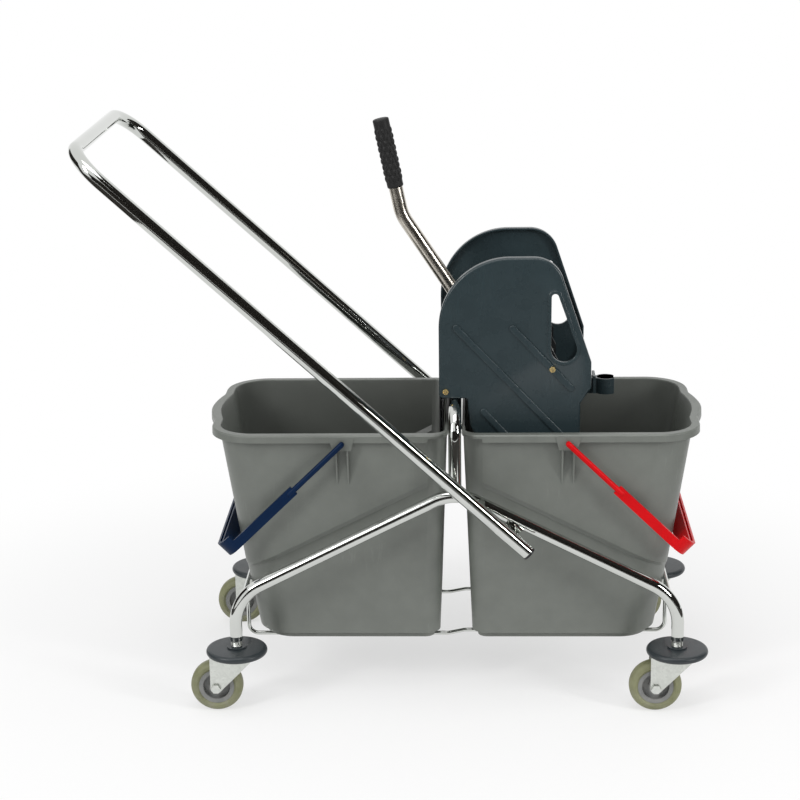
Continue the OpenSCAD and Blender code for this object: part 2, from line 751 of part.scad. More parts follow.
// Bail in its own plane: u away from the pivot, v across, thickness along w.
module bail_strip(u0, u1, half, t) {
  r = bail_corner_r;
  difference() {
    union() {
      translate([u0, -half]) square([u1 - r - u0, 2 * half]);
      translate([u1 - r - 1, -half + r]) square([r + 1, 2 * (half - r)]);
      for (v = [-half + r, half - r]) translate([u1 - r, v]) circle(r);
    }
    translate([u0 - 1, -half + t]) square([u1 - r - u0 + 1, 2 * (half - t)]);
    translate([u1 - r - 1, -half + r]) square([r + 1 - t, 2 * (half - r)]);
    for (v = [-half + r, half - r]) translate([u1 - r, v]) circle(r - t);
  }
}

// Carrying bail: grooved round ends with inward pins, flat straps and a ribbed channel as the grip.
module bail() {
  half = arm_y + strap_t / 2;
  outer_u = bail_len + grip_depth / 2;
  inner_u = bail_len - grip_depth / 2;
  wall_t = 3;
  wall_half = half - strap_t - 2;
  rib_count = 11;
  rib_t = 2.5;
  rib_low = 3;
  rib_span = 2 * (half - bail_corner_r);
  pin_in = lug_y - 9;
  groove_w = 3;
  groove_d = 1.5;
  groove_end = 6;
  translate([pivot_x, 0, pivot_z]) rotate([0, bail_rest, 0]) difference() {
    union() {
      translate([0, 0, -bail_strap_w / 2]) {
        linear_extrude(bail_strap_w) bail_strip(bail_rod_len, outer_u, half, strap_t);
        linear_extrude(bail_grip_w) intersection() {
          bail_strip(bail_rod_len, outer_u, half, strap_t);
          translate([outer_u - bail_corner_r, -half]) square([bail_corner_r, 2 * half]);
        }
        translate([inner_u, -wall_half, 0]) cube([wall_t, 2 * wall_half, bail_grip_w]);
        for (k = [0:rib_count - 1])
          translate([inner_u + wall_t - 1, -rib_span / 2 + rib_span * k / (rib_count - 1) - rib_t / 2, 0])
            cube([grip_depth - strap_t, rib_t, bail_grip_w - rib_low]);
      }
      for (s = [-1, 1]) {
        translate([0, s * arm_y, 0]) rotate([0, 90, 0]) cylinder(h = bail_rod_len + 10, r = bail_rod_d / 2);
        translate([0, s * arm_y, 0]) sphere(bail_rod_d / 2);
        translate([0, s * (arm_y + pin_in) / 2, 0]) rotate([90, 0, 0])
          cylinder(h = arm_y - pin_in, r = bail_pin_d / 2, center = true);
      }
    }
    for (s = [-1, 1])
      translate([groove_end, s * arm_y - groove_w / 2, bail_rod_d / 2 - groove_d])
        cube([bail_rod_len - 2 * groove_end, groove_w, bail_rod_d]);
  }
}

module bail_right() {
  place() color(bail_red) bail();
}

module bail_left() {
  place() color(bail_blue) mirror([1, 0, 0]) bail();
}

// Outline of a press side plate in x and z, walked anticlockwise from its lower right corner.
function plate_outline() =
  let (r = plate_corner_r, brow = [brow_x, press_top - brow_r],
    crown = [press_left + crown_r, press_top - crown_r],
    slope_top = brow + brow_r * [cos(edge_angle), sin(edge_angle)],
    knee_z = slope_top.y - (press_right - slope_top.x) / tan(edge_angle))
  concat(
    arc([press_belly - r, press_bottom + r], r, -90, 0, 4),
    [[press_belly, belly_z - 2]],
    arc([press_right - r, belly_z + shoulder_up + r], r, -60, 0, 4),
    [[press_right, knee_z]],
    arc(brow, brow_r, edge_angle, 90, 8),
    arc(crown, crown_r, 90, 180, 16),
    arc([press_left + r, hook_z + r], r, 180, 270, 4),
    arc([notch_x - notch_r, hook_z - notch_r], notch_r, 90, 0, 4),
    [[notch_x + 0.5, hook_z - 18], [notch_x + 4, hook_z - 40], [waist_x - 1, hook_z - 56]],
    arc([waist_x + r, press_bottom + r], r, 180, 270, 4));

// Hand hole: a drop with a round foot and a small round top.
module hand_hole() {
  hull() {
    translate(hole_low) circle(hole_low_r, $fn = 32);
    translate(hole_high) circle(hole_high_r, $fn = 32);
  }
}

// Raised diagonal rib with round ends, from p to q on the plate's face.
module diagonal_rib(p, q) {
  turn = atan2(q.y - p.y, q.x - p.x);
  polygon(concat(arc(q, rib_w / 2, turn - 90, turn + 90, 8), arc(p, rib_w / 2, turn + 90, turn + 270, 8)));
}

// Front side plate: face, inner lip, raised ribs, bosses for shaft and hinge rod, spot-faced screw holes.
module press_plate() {
  lip_t = 3;
  difference() {
    union() {
      xz_plate(-plate_y, -plate_in) polygon(plate_outline());
      xz_plate(-plate_in - 0.5, -lip_in) difference() {
        polygon(plate_outline());
        offset(delta = -lip_t) polygon(plate_outline());
      }
      xz_plate(-plate_y - rib_out, -plate_y + 0.5) {
        diagonal_rib([2, hook_z + 102.5], [160, hook_z - 64.6]);
        diagonal_rib([81, hook_z + 101.3], [162.5, hook_z + 15]);
        diagonal_rib([40.5, hook_z - 19], [76, hook_z - 58]);
      }
      y_bar(shaft_at, -plate_in - 0.5, -plate_in + boss_t, shaft_d / 2 + boss_wall);
      y_bar(jaw_hinge, -plate_in - 0.5, -plate_in + boss_t, jaw_rod_d / 2 + boss_wall);
    }
    xz_plate(-plate_y - 3, -lip_in + 1) hand_hole();
    y_bar(shaft_at, -plate_in + 1, -plate_in + boss_t + 1, shaft_d / 2 + run_gap);
    y_bar(jaw_hinge, -plate_in + 1, -plate_in + boss_t + 1, jaw_rod_d / 2 + run_gap);
    for (p = tie_rods) {
      y_bar(p, -plate_y - 3, -plate_in + 1, screw_r + 0.1);
      y_bar(p, -plate_y - 3, -plate_y, screw_face_r);
    }
  }
}

module press_side_front() {
  place() color(press_slate) press_plate();
}

module press_side_rear() {
  place() color(press_slate) mirror([0, 1, 0]) press_plate();
}

// Wall between the plates at the front of the press, which carries the mop clip.
module press_front_wall() {
  t = 3;
  x0 = press_belly - 3 - seam - t;
  low = press_bottom + 8;
  half = plate_in - seam;
  place() color(press_slate) xz_plate(-half, half)
    translate([x0, low]) square([t, belly_z - low]);
}

// Double-walled apron between the plates that hooks over the arch bar, with level ribs inside.
module press_hook_apron() {
  wall = 1.6;
  bucket_room = 2.5;
  depth = -press_left - (lip_x + lip_over + bucket_wall + bucket_room);
  half = lip_in - seam;
  low = hook_z - apron_drop;
  top = hook_z + 54;
  rib_pitch = 14;
  rib_count = floor(apron_drop / rib_pitch);
  place() color(jaw_black) {
    translate([press_left + 0.2, -half, low]) cube([wall, 2 * half, top - low]);
    translate([press_left + depth - wall, -half, low]) cube([wall, 2 * half, apron_drop]);
    for (k = [0:rib_count])
      translate([press_left + 1, -half, low + k * rib_pitch]) cube([depth - 2, 2 * half, wall]);
  }
}

function jaw_face() = [[100, press_bottom + jaw_foot], [118, hook_z + jaw_rise]];

// Fixed jaw: a slotted slab with webs behind it that sit on the upper tie rod.
module press_fixed_jaw() {
  f = jaw_face();
  half = lip_in - seam;
  slot_h = 76;
  slot_low = [24, 112];
  web_t = 5;
  web_x = tie_rod_d / 2 + 4;
  lean = atan2(f[1].x - f[0].x, f[1].y - f[0].y);
  place() color(jaw_black) difference() {
    union() {
      xz_plate(-half, half) polygon([f[0], f[0] + [jaw_t, 0], f[1] + [jaw_t, 0], f[1]]);
      for (y = [-half, -web_t / 2, half - web_t])
        xz_plate(y, y + web_t) polygon([f[0] + [jaw_t - 1, 30], tie_rods[1] + [web_x, -30],
          tie_rods[1] + [web_x, 8], f[0] + [jaw_t + 15, 170]]);
    }
    y_bar(tie_rods[1], -half - 1, half + 1, tie_rod_d / 2 + seam);
    for (k = [0:jaw_slots - 1]) {
      y = -half + (k + 0.5) * 2 * half / jaw_slots;
      if (abs(y) > web_t) for (z = slot_low)
        translate([f[0].x - 20 + z * tan(lean), y - jaw_slot_w / 2, f[0].y + z])
          cube([60, jaw_slot_w, slot_h]);
    }
  }
}

// Two tie rods between the side plates.
module press_tie_rods() {
  screw_depth = 14;
  place() color(zinc) for (p = tie_rods)
    difference() {
      y_bar(p, -plate_in + seam, plate_in - seam, tie_rod_d / 2);
      for (y = [-plate_in, plate_in - screw_depth])
        y_bar(p, y, y + screw_depth, screw_r + seam);
    }
}

// Brass screws through the plates into the tie rods.
module press_screws() {
  head_h = 2.4;
  place() color(brass) for (p = tie_rods) for (s = [0, 1])
    mirror([0, s, 0]) difference() {
      union() {
        y_bar(p, -plate_y - head_h - seam, -plate_y - seam, screw_head_r);
        y_bar(p, -plate_y - 1, -plate_in + 12, screw_r);
      }
      translate([p.x, -plate_y - head_h, p.y]) {
        cube([5, 2, 1.2], center = true);
        cube([1.2, 2, 5], center = true);
      }
    }
}

// Spring clip for a mop handle, open to the front, with a flange across its arm.
module mop_clip() {
  ring_t = 3;
  ring_r = clip_d / 2 + ring_t;
  clip_x = 217.7;
  clip_z = hook_z - 22;
  mouth = clip_d * 0.7;
  wall_x = press_belly - 3;
  arm_w = 16;
  flange_t = 4;
  place() color(press_slate) translate([0, 0, clip_z]) difference() {
    union() {
      translate([clip_x, 0, 0]) cylinder(h = clip_h, r = ring_r);
      translate([wall_x, -arm_w / 2, 0]) cube([clip_x - wall_x, arm_w, clip_h]);
      translate([wall_x, -arm_w, 0]) cube([flange_t, 2 * arm_w, clip_h]);
      translate([clip_x - ring_r - flange_t, -arm_w, 2]) cube([flange_t, 2 * arm_w, clip_h + 3]);
    }
    translate([clip_x, 0, -1]) cylinder(h = clip_h + 2, r = clip_d / 2);
    translate([clip_x, -mouth / 2, -1]) cube([ring_r + 1, mouth, clip_h + 2]);
  }
}

function lever_path() = [at_y(shaft_at - tube_tail * lever_dir, 0), at_y(lever_corner, 0),
  at_y(lever_corner + (grip_start + grip_len - grip_cap) * grip_dir, 0)];

// Lever tube: open lower end, shaft hole, long arm and the bent end inside the grip.
module lever_tube() {
  place() color(chrome) difference() {
    swept_tube(lever_path(), [0, 1, 0], lever_bend_r, lever_r);
    y_bar(shaft_at, -lever_r - 1, lever_r + 1, shaft_d / 2 + seam);
  }
}

// Rubber grip: a blind sleeve with shallow rings and a domed end.
module lever_grip() {
  rings = 8;
  groove = 1.2;
  bore_r = lever_r + seam;
  r = grip_d / 2;
  pitch = (grip_len - 16) / rings;
  start = lever_corner + grip_start * grip_dir;
  place() color(jaw_black) translate(at_y(start, 0)) rotate([0, 90 - grip_angle, 0])
    rotate_extrude() polygon(concat(
      [[bore_r, 0], [r - 1, 0], [r, 2], [r, 8]],
      [for (k = [0:rings - 1]) each [[r, 8 + k * pitch + 1], [r - groove, 8 + k * pitch + 2.5],
        [r - groove, 8 + k * pitch + 4], [r, 8 + k * pitch + 5.5]]],
      arc([r - 5, grip_len - 5], 5, 0, 90, 5),
      [[0, grip_len], [0, grip_len - grip_cap + seam], [bore_r, grip_len - grip_cap + seam]]));
}

module lever_shaft() {
  place() color(zinc) y_bar(shaft_at, -plate_in + 1 + gap, plate_in - 1 - gap, shaft_d / 2);
}

// Bar that pushes the moving jaw, on a stem plugged into the lever tube's lower end.
module lever_push_bar() {
  stem_r = 6;
  plug_r = lever_r - tube_wall - seam;
  plug_len = 16;
  tube_end = crank_len - tube_tail;
  place() color(zinc) {
    y_bar(lever_tip, -push_bar_len / 2, push_bar_len / 2, push_bar_r);
    translate(at_y(lever_tip, 0)) rotate([0, 90 - lever_angle, 0]) rotate_extrude()
      polygon([[0, 0], [stem_r, 0], [stem_r, tube_end + seam], [plug_r, tube_end + seam],
        [plug_r, tube_end + plug_len], [0, tube_end + plug_len]]);
  }
}

// Torsion spring wound on the shaft, from a formula for a helix.
module lever_spring() {
  wire_r = 1.1;
  coil_r = shaft_d / 2 + gap + wire_r;
  turns = 7;
  per_turn = 12;
  sides = 6;
  pitch = 2 * wire_r + 0.8;
  y0 = lever_r + 3;
  steps = turns * per_turn;
  rings = [for (i = [0:steps]) let (a = 360 * i / per_turn) [for (j = [0:sides - 1])
    let (b = 360 * j / sides, r = coil_r + wire_r * cos(b))
    [r * cos(a), r * sin(a), pitch * i / per_turn + wire_r * sin(b)]]];
  echo(spring_gap_between_turns = pitch - 2 * wire_r);
  place() color(zinc) translate(at_y(shaft_at, y0)) rotate([-90, 0, 0]) mirror([0, 1, 0]) skin(rings);
}

// Moving jaw in its own frame: hinge eye at the origin, slab flush with the eye's back, leaning to the lever.
module moving_jaw() {
  slab_h = 198;
  eye_r = jaw_rod_d / 2 + 4;
  slot_h = 68;
  slot_low = [24, 114];
  place() color(jaw_black) translate([jaw_hinge.x, 0, jaw_hinge.y]) rotate([0, -jaw_lean, 0]) difference() {
    union() {
      y_bar([0, 0], -jaw_half, jaw_half, eye_r);
      translate([-eye_r, -jaw_half, 0]) cube([jaw_t, 2 * jaw_half, slab_h]);
    }
    y_bar([0, 0], -jaw_half - 1, jaw_half + 1, jaw_rod_d / 2 + seam);
    for (k = [0:jaw_slots - 1]) {
      y = -jaw_half + (k + 0.5) * 2 * jaw_half / jaw_slots;
      for (z = slot_low)
        translate([-eye_r - 1, y - jaw_slot_w / 2, z]) cube([jaw_t + 2, jaw_slot_w, slot_h]);
    }
  }
}

module jaw_hinge_rod() {
  place() color(zinc) y_bar(jaw_hinge, -plate_in + 1 + gap, plate_in - 1 - gap, jaw_rod_d / 2);
}

side_frame(-side_y);  // side_frame_front
side_frame(side_y);  // side_frame_rear
press_arch();
cradle_rod_front();
cradle_rod_rear();
end_rod(-1);  // end_rod_left
end_rod(1);  // end_rod_right
push_handle();
handle_end_caps();
handle_brackets();
handle_bolts();
castor_stems();
bumper(fl);  // bumper_fl
bumper(fr);  // bumper_fr
bumper(rl);  // bumper_rl
bumper(rr);  // bumper_rr
castor_fork(fl);  // castor_fork_fl
castor_fork(fr);  // castor_fork_fr
castor_fork(rl);  // castor_fork_rl
castor_fork(rr);  // castor_fork_rr
castor_axle(fl);  // castor_axle_fl
castor_axle(fr);  // castor_axle_fr
castor_axle(rl);  // castor_axle_rl
castor_axle(rr);  // castor_axle_rr
wheel_core(fl);  // wheel_core_fl
wheel_core(fr);  // wheel_core_fr
wheel_core(rl);  // wheel_core_rl
wheel_core(rr);  // wheel_core_rr
tyre(fl);  // tyre_fl
tyre(fr);  // tyre_fr
tyre(rl);  // tyre_rl
tyre(rr);  // tyre_rr
bucket_left();
bucket_right();
bail_left();
bail_right();
press_side_front();
press_side_rear();
press_front_wall();
press_hook_apron();
press_fixed_jaw();
press_tie_rods();
press_screws();
mop_clip();
lever_tube();
lever_grip();
lever_shaft();
lever_push_bar();
lever_spring();
moving_jaw();
jaw_hinge_rod();
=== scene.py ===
import json
import math
import bmesh
import bpy
import numpy as np
from mathutils import Matrix, Vector
from mathutils.geometry import delaunay_2d_cdt


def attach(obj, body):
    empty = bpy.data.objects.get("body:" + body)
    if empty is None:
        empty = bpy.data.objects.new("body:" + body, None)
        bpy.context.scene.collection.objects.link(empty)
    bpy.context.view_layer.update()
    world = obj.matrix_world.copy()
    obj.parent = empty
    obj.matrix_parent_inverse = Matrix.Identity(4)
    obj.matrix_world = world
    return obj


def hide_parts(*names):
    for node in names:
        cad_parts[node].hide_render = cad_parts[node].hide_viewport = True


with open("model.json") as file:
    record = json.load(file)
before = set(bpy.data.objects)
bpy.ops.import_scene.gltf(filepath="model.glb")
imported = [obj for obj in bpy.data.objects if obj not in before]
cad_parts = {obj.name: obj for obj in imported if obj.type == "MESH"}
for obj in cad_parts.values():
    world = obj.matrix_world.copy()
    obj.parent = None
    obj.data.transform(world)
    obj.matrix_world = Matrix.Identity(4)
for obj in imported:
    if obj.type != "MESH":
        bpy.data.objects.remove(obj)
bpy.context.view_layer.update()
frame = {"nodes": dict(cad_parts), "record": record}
nodes = frame["nodes"]
print("frame loaded:", len(nodes), "nodes")

# the middle of the arch in the row frame: halfway between the castor stems
stemX = [v.co.x for v in nodes["castor_stems"].data.vertices]
arch = np.array([(min(stemX) + max(stemX)) / 2, 0.0, 0.0])


# node helpers: a value is a number, a vector or a colour, or else a socket to link


def feed(tree, sock, value):
    if hasattr(value, "links"):
        tree.links.new(value, sock)
    else:
        sock.default_value = value


def addNode(tree, kind, values=None, **props):
    node = tree.nodes.new(kind)
    for key, value in props.items():
        setattr(node, key, value)
    for key, value in (values or {}).items():
        feed(tree, node.inputs[key], value)
    return node


def noiseNode(tree, vector, scale, detail, rough):
    values = {"Vector": vector, "Scale": scale, "Detail": detail, "Roughness": rough}
    return addNode(tree, "ShaderNodeTexNoise", values).outputs["Fac"]


def mathNode(tree, op, a, b, clamp=False):
    return addNode(tree, "ShaderNodeMath", {0: a, 1: b}, operation=op, use_clamp=clamp).outputs[0]


def rangeNode(tree, value, source, target, **props):  # carries one range of values to another
    values = {"Value": value, "From Min": source[0], "From Max": source[1],
              "To Min": target[0], "To Max": target[1]}
    return addNode(tree, "ShaderNodeMapRange", values, **props).outputs["Result"]


def stretched(tree, vector, along):  # a vector times another, axis by axis
    return addNode(tree, "ShaderNodeVectorMath", {0: vector, 1: along}, operation="MULTIPLY").outputs[0]


def mixColour(tree, fac, a, b):
    node = addNode(tree, "ShaderNodeMix", {0: fac}, data_type="RGBA")
    for sock, value in zip([s for s in node.inputs if s.type == "RGBA"], (a, b)):
        feed(tree, sock, value)
    return [s for s in node.outputs if s.type == "RGBA"][0]


def startMaterial(name):
    mat = bpy.data.materials.new(name)
    mat.use_nodes = True
    tree = mat.node_tree
    coords = tree.nodes.new("ShaderNodeTexCoord")
    return mat, tree, tree.nodes["Principled BSDF"], coords.outputs["Object"]


# camera, in metres from the middle of the arch, and studio, in metres from the frame's origin

camera = {
    "lens": 91.566, "sensor": 36.0, "clip": (0.05, 200.0),
    "place": (0.0288, -2.8563, 1.2397), "pitch": 16.113, "yaw": 2.206, "roll": -0.846,
}

studio = {
    "floorSize": 60.0,
    "floorColour": (0.95, 0.95, 0.95, 1),
    "floorRough": 0.9,
    "floorSpecular": 0.1,
    "ambient": 0.5,
    "white": (0.4, 1.1),  # the floor's own shade gives way to white between these distances
    "paleShadow": 0.6,  # share of white under the trolley
    "lamps": [  # name, place, target, size, watts
        ("topSoftbox", (0.2, -0.9, 3.2), (0.0, 0.0, 0.3), (2.4, 1.4), 26),
        ("leftSoftbox", (-2.3, -2.2, 2.2), (0.0, 0.0, 0.4), (0.6, 1.5), 44),
        ("rightSoftbox", (2.7, -1.7, 1.5), (0.0, 0.0, 0.4), (0.4, 1.2), 34),
    ],
    "flagColour": (0.02, 0.017, 0.014, 1),
    "flags": [  # name, corner, two edges: dark cards that only reflections see
        ("frontFlag", (-3.5, -4.2, 0.0), (4.3, 0, 0), (0, 0, 2.2)),
        ("rightFrontFlag", (0.8, -4.2, 0.0), (2.8, 0, 0), (0, 0, 6.0)),
        ("farFloorFlag", (-3.5, -4.2, 0.004), (7.1, 0, 0), (0, 2.2, 0)),
        ("nearFloorFlag", (-3.5, -1.75, 0.004), (7.1, 0, 0), (0, 0.7, 0)),
        ("rightFlag", (3.6, -4.2, 0.0), (0, 6.3, 0), (0, 0, 8.0)),
        ("leftFlag", (-3.6, -0.9, 0.0), (0, 4.4, 0), (0, 0, 2.2)),
        ("leftFloorFlag", (-3.5, -1.05, 0.004), (2.5, 0, 0), (0, 1.6, 0)),
        ("rightFloorFlag", (1.0, -1.05, 0.004), (2.5, 0, 0), (0, 1.6, 0)),
    ],
}


def show(name, data):  # a new object in the scene
    obj = bpy.data.objects.new(name, data)
    bpy.context.scene.collection.objects.link(obj)
    return obj


def aim(obj, place, target):  # turns an object's -Z to a point
    d = np.array(target, float) - np.array(place, float)
    flat = math.hypot(d[0], d[1])
    obj.location = place
    obj.rotation_euler = (math.atan2(flat, -d[2]), 0.0, math.atan2(-d[0], d[1]))


def newMesh(name, pts, faces):
    mesh = bpy.data.meshes.new(name)
    mesh.from_pydata(np.asarray(pts, float).tolist(), [], faces)
    mesh.update()
    return mesh


def quad(name, corner, first, second):  # one flat face from a corner and two edges
    c, u, v = (np.array(k, float) for k in (corner, first, second))
    return newMesh(name, [c, c + u, c + u + v, c + v], [(0, 1, 2, 3)])


def makeCamera():
    k = camera
    data = bpy.data.cameras.new("photoCamera")
    data.lens = k["lens"]
    data.sensor_width = k["sensor"]
    data.clip_start, data.clip_end = k["clip"]
    obj = show("photoCamera", data)
    obj.location = arch + np.array(k["place"])
    yaw, tilt, roll = (math.radians(a) for a in (k["yaw"], 90 - k["pitch"], k["roll"]))
    turn = Matrix.Rotation(yaw, 3, "Z") @ Matrix.Rotation(tilt, 3, "X") @ Matrix.Rotation(roll, 3, "Z")
    obj.rotation_euler = turn.to_euler()
    bpy.context.scene.camera = obj


def seenRays(tree):  # 1 for rays of the camera, of reflections and through glass
    rays = tree.nodes.new("ShaderNodeLightPath").outputs
    total = rays["Is Camera Ray"]
    for label in ("Is Glossy Ray", "Is Transmission Ray"):
        total = mathNode(tree, "MAXIMUM", total, rays[label])
    return total


def makeFloor():
    k = studio
    size = k["floorSize"]
    mesh = quad("floor", (-size / 2, -size / 2, 0), (size, 0, 0), (0, size, 0))
    floor = show("floor", mesh)
    mat, tree, bsdf, vec = startMaterial("paleFloor")
    bsdf.inputs["Base Color"].default_value = k["floorColour"]
    bsdf.inputs["Roughness"].default_value = k["floorRough"]
    bsdf.inputs["Specular IOR Level"].default_value = k["floorSpecular"]
    away = addNode(tree, "ShaderNodeVectorMath", {0: vec}, operation="LENGTH").outputs["Value"]
    fade = rangeNode(tree, away, k["white"], (k["paleShadow"], 1.0), interpolation_type="SMOOTHSTEP")
    share = mathNode(tree, "MULTIPLY", fade, seenRays(tree))
    glow = tree.nodes.new("ShaderNodeEmission")
    mix = addNode(tree, "ShaderNodeMixShader", {0: share, 1: bsdf.outputs[0], 2: glow.outputs[0]})
    tree.links.new(mix.outputs[0], tree.nodes["Material Output"].inputs["Surface"])
    mesh.materials.append(mat)


def makeLamps():
    for name, place, target, size, watts in studio["lamps"]:
        lamp = bpy.data.lights.new(name, "AREA")
        lamp.shape = "RECTANGLE"
        lamp.size, lamp.size_y = size
        lamp.energy = watts
        obj = show(name, lamp)
        aim(obj, place, target)
        obj.visible_camera = False


def makeFlags():
    dark = bpy.data.materials.new("darkFlag")
    dark.use_nodes = True
    shader = dark.node_tree.nodes["Principled BSDF"]
    shader.inputs["Base Color"].default_value = studio["flagColour"]
    shader.inputs["Roughness"].default_value = 1.0
    for name, corner, first, second in studio["flags"]:
        card = quad(name, corner, first, second)
        card.materials.append(dark)
        obj = show(name, card)
        obj.visible_camera = False
        obj.visible_diffuse = False
        obj.visible_shadow = False
        obj.visible_transmission = False


def makeWorld():
    world = bpy.data.worlds.new("whiteStudio")
    bpy.context.scene.world = world
    world.use_nodes = True
    tree = world.node_tree
    back = tree.nodes["Background"]
    back.inputs["Color"].default_value = (1, 1, 1, 1)
    level = rangeNode(tree, seenRays(tree), (0.0, 1.0), (studio["ambient"], 1.0))
    tree.links.new(level, back.inputs["Strength"])


bpy.context.scene.view_settings.view_transform = "Standard"
makeCamera()
makeFloor()
makeLamps()
makeFlags()
makeWorld()
print("camera and studio ready")


# shared effects as node groups; a noise is its scale, detail and roughness


def newGroup(name, ins, outs):  # a group fed with a vector and the given values, with float outputs
    tree = bpy.data.node_groups.new(name, "ShaderNodeTree")
    for label, value in {"Vector": (0, 0, 0), **ins}.items():
        kind = "NodeSocketVector" if isinstance(value, tuple) else "NodeSocketFloat"
        sock = tree.interface.new_socket(label, in_out="INPUT", socket_type=kind)
        sock.default_value = value
    for label in outs:
        tree.interface.new_socket(label, in_out="OUTPUT", socket_type="NodeSocketFloat")
    return tree, tree.nodes.new("NodeGroupInput").outputs, tree.nodes.new("NodeGroupOutput").inputs


# moulded skin: fine spark-eroded grain, flow mottling and a slow tone drift
skinEffect = {
    "grain": 1400.0, "grainNoise": (2.0, 0.6), "mottle": 40.0, "mottleNoise": (3.0, 0.55),
    "drift": (5.0, 2.0, 0.5), "mottleShare": 0.6, "driftShare": 0.4,
}


def mouldedSkin():
    k = skinEffect
    ins = {"Grain": k["grain"], "Mottle": k["mottle"]}
    tree, given, made = newGroup("mouldedSkin", ins, ["Height", "Tone"])
    vec = given["Vector"]
    fine = noiseNode(tree, vec, given["Grain"], *k["grainNoise"])
    mottle = noiseNode(tree, vec, given["Mottle"], *k["mottleNoise"])
    drift = noiseNode(tree, vec, *k["drift"])
    tree.links.new(fine, made["Height"])
    tone = mathNode(tree, "ADD", mathNode(tree, "MULTIPLY", mottle, k["mottleShare"]),
                    mathNode(tree, "MULTIPLY", drift, k["driftShare"]))
    tree.links.new(tone, made["Tone"])
    return tree


# rub marks: thin streaks from noise stretched along one direction, cut to a sparse mask
rubEffect = {
    "along": (300, 300, 14), "amount": 0.62, "streak": (1.0, 3.0, 0.6), "patch": (9.0, 2.0, 0.5),
    "patchLift": 0.55, "contrast": 9.0,
}


def rubMarks():
    k = rubEffect
    tree, given, made = newGroup("rubMarks", {"Along": k["along"], "Amount": k["amount"]}, ["Mask"])
    streak = noiseNode(tree, stretched(tree, given["Vector"], given["Along"]), *k["streak"])
    patch = noiseNode(tree, given["Vector"], *k["patch"])
    both = mathNode(tree, "MULTIPLY", streak, mathNode(tree, "ADD", patch, k["patchLift"]))
    cut = mathNode(tree, "SUBTRACT", both, given["Amount"])
    tree.links.new(mathNode(tree, "MULTIPLY", cut, k["contrast"], True), made["Mask"])
    return tree


# edge wear: lighter where the surface turns sharply outwards, broken up by noise
wearEffect = {
    "sharp": 0.56, "contrast": 12.0, "noise": (120.0, 4.0, 0.65), "cut": (0.35, 0.65), "keep": (0.1, 1.0),
}


def edgeWear():
    k = wearEffect
    tree, given, made = newGroup("edgeWear", {"Sharp": k["sharp"]}, ["Mask"])
    geo = tree.nodes.new("ShaderNodeNewGeometry")
    over = mathNode(tree, "SUBTRACT", geo.outputs["Pointiness"], given["Sharp"])
    over = mathNode(tree, "MULTIPLY", over, k["contrast"], True)
    broken = rangeNode(tree, noiseNode(tree, given["Vector"], *k["noise"]), k["cut"], k["keep"])
    tree.links.new(mathNode(tree, "MULTIPLY", over, broken), made["Mask"])
    return tree


# floor dust: thickest at the floor, gone above the given height, in soft patches
dustEffect = {"top": 0.12, "noise": (70.0, 4.0, 0.6), "cut": (0.35, 0.7)}


def floorDust():
    k = dustEffect
    tree, given, made = newGroup("floorDust", {"Top": k["top"]}, ["Mask"])
    split = addNode(tree, "ShaderNodeSeparateXYZ", {0: given["Vector"]})
    climb = mathNode(tree, "DIVIDE", split.outputs["Z"], given["Top"])
    fall = mathNode(tree, "SUBTRACT", 1.0, climb, True)
    patch = rangeNode(tree, noiseNode(tree, given["Vector"], *k["noise"]), k["cut"], (0.0, 1.0))
    tree.links.new(mathNode(tree, "MULTIPLY", fall, patch), made["Mask"])
    return tree


# plated skin: soft polishing smears and faint hairlines for bright metal
platedEffect = {"hairline": (60, 60, 60), "smear": (22.0, 4.0, 0.6), "line": (12.0, 3.0, 0.6)}


def platedSkin():
    k = platedEffect
    tree, given, made = newGroup("platedSkin", {"Hairline": k["hairline"]}, ["Smear", "Line"])
    tree.links.new(noiseNode(tree, given["Vector"], *k["smear"]), made["Smear"])
    lines = stretched(tree, given["Vector"], given["Hairline"])
    tree.links.new(noiseNode(tree, lines, *k["line"]), made["Line"])
    return tree


groups = {g.name: g for g in (mouldedSkin(), rubMarks(), edgeWear(), floorDust(), platedSkin())}
print("node groups ready:", ", ".join(groups))


# materials: a cut is the part of a mask that is used, a band is what it adds to the roughness


def placeGroup(tree, name, vector, **values):  # the outputs of a shared effect
    return addNode(tree, "ShaderNodeGroup", {"Vector": vector, **values}, node_tree=groups[name]).outputs


def bump(tree, bsdf, height, strength, distance):
    node = addNode(tree, "ShaderNodeBump", {"Strength": strength, "Distance": distance, "Height": height})
    tree.links.new(node.outputs["Normal"], bsdf.inputs["Normal"])


def shade(colour, k):
    return tuple(min(1.0, c * k) for c in colour[:3]) + (1,)


def toned(tree, mask, cut, colour, tones):  # two shades of a colour by a mask
    fac = rangeNode(tree, mask, cut, (0.0, 1.0))
    return mixColour(tree, fac, shade(colour, tones[0]), shade(colour, tones[1]))


def laid(tree, mask, share, under, over):  # a colour laid over another by a share of a mask
    return mixColour(tree, mathNode(tree, "MULTIPLY", mask, share), under, over)


def roughened(tree, mask, cut, rough, band):
    return rangeNode(tree, mask, cut, (rough + band[0], rough + band[1]))


# moulded plastic: tone drift, rub marks and worn edges in colour, grain in the bump
plasticLook = {
    "toneCut": (0.35, 0.65), "tones": (0.93, 1.07), "rubShare": 0.35, "rubTone": 1.3, "wearShare": 0.5,
    "dustShare": 0.35, "dustColour": (0.42, 0.4, 0.36, 1),
    "roughCut": (0.3, 0.7), "roughBand": (-0.05, 0.06), "rubPolish": -0.08, "bumpHeight": 0.0004,
}


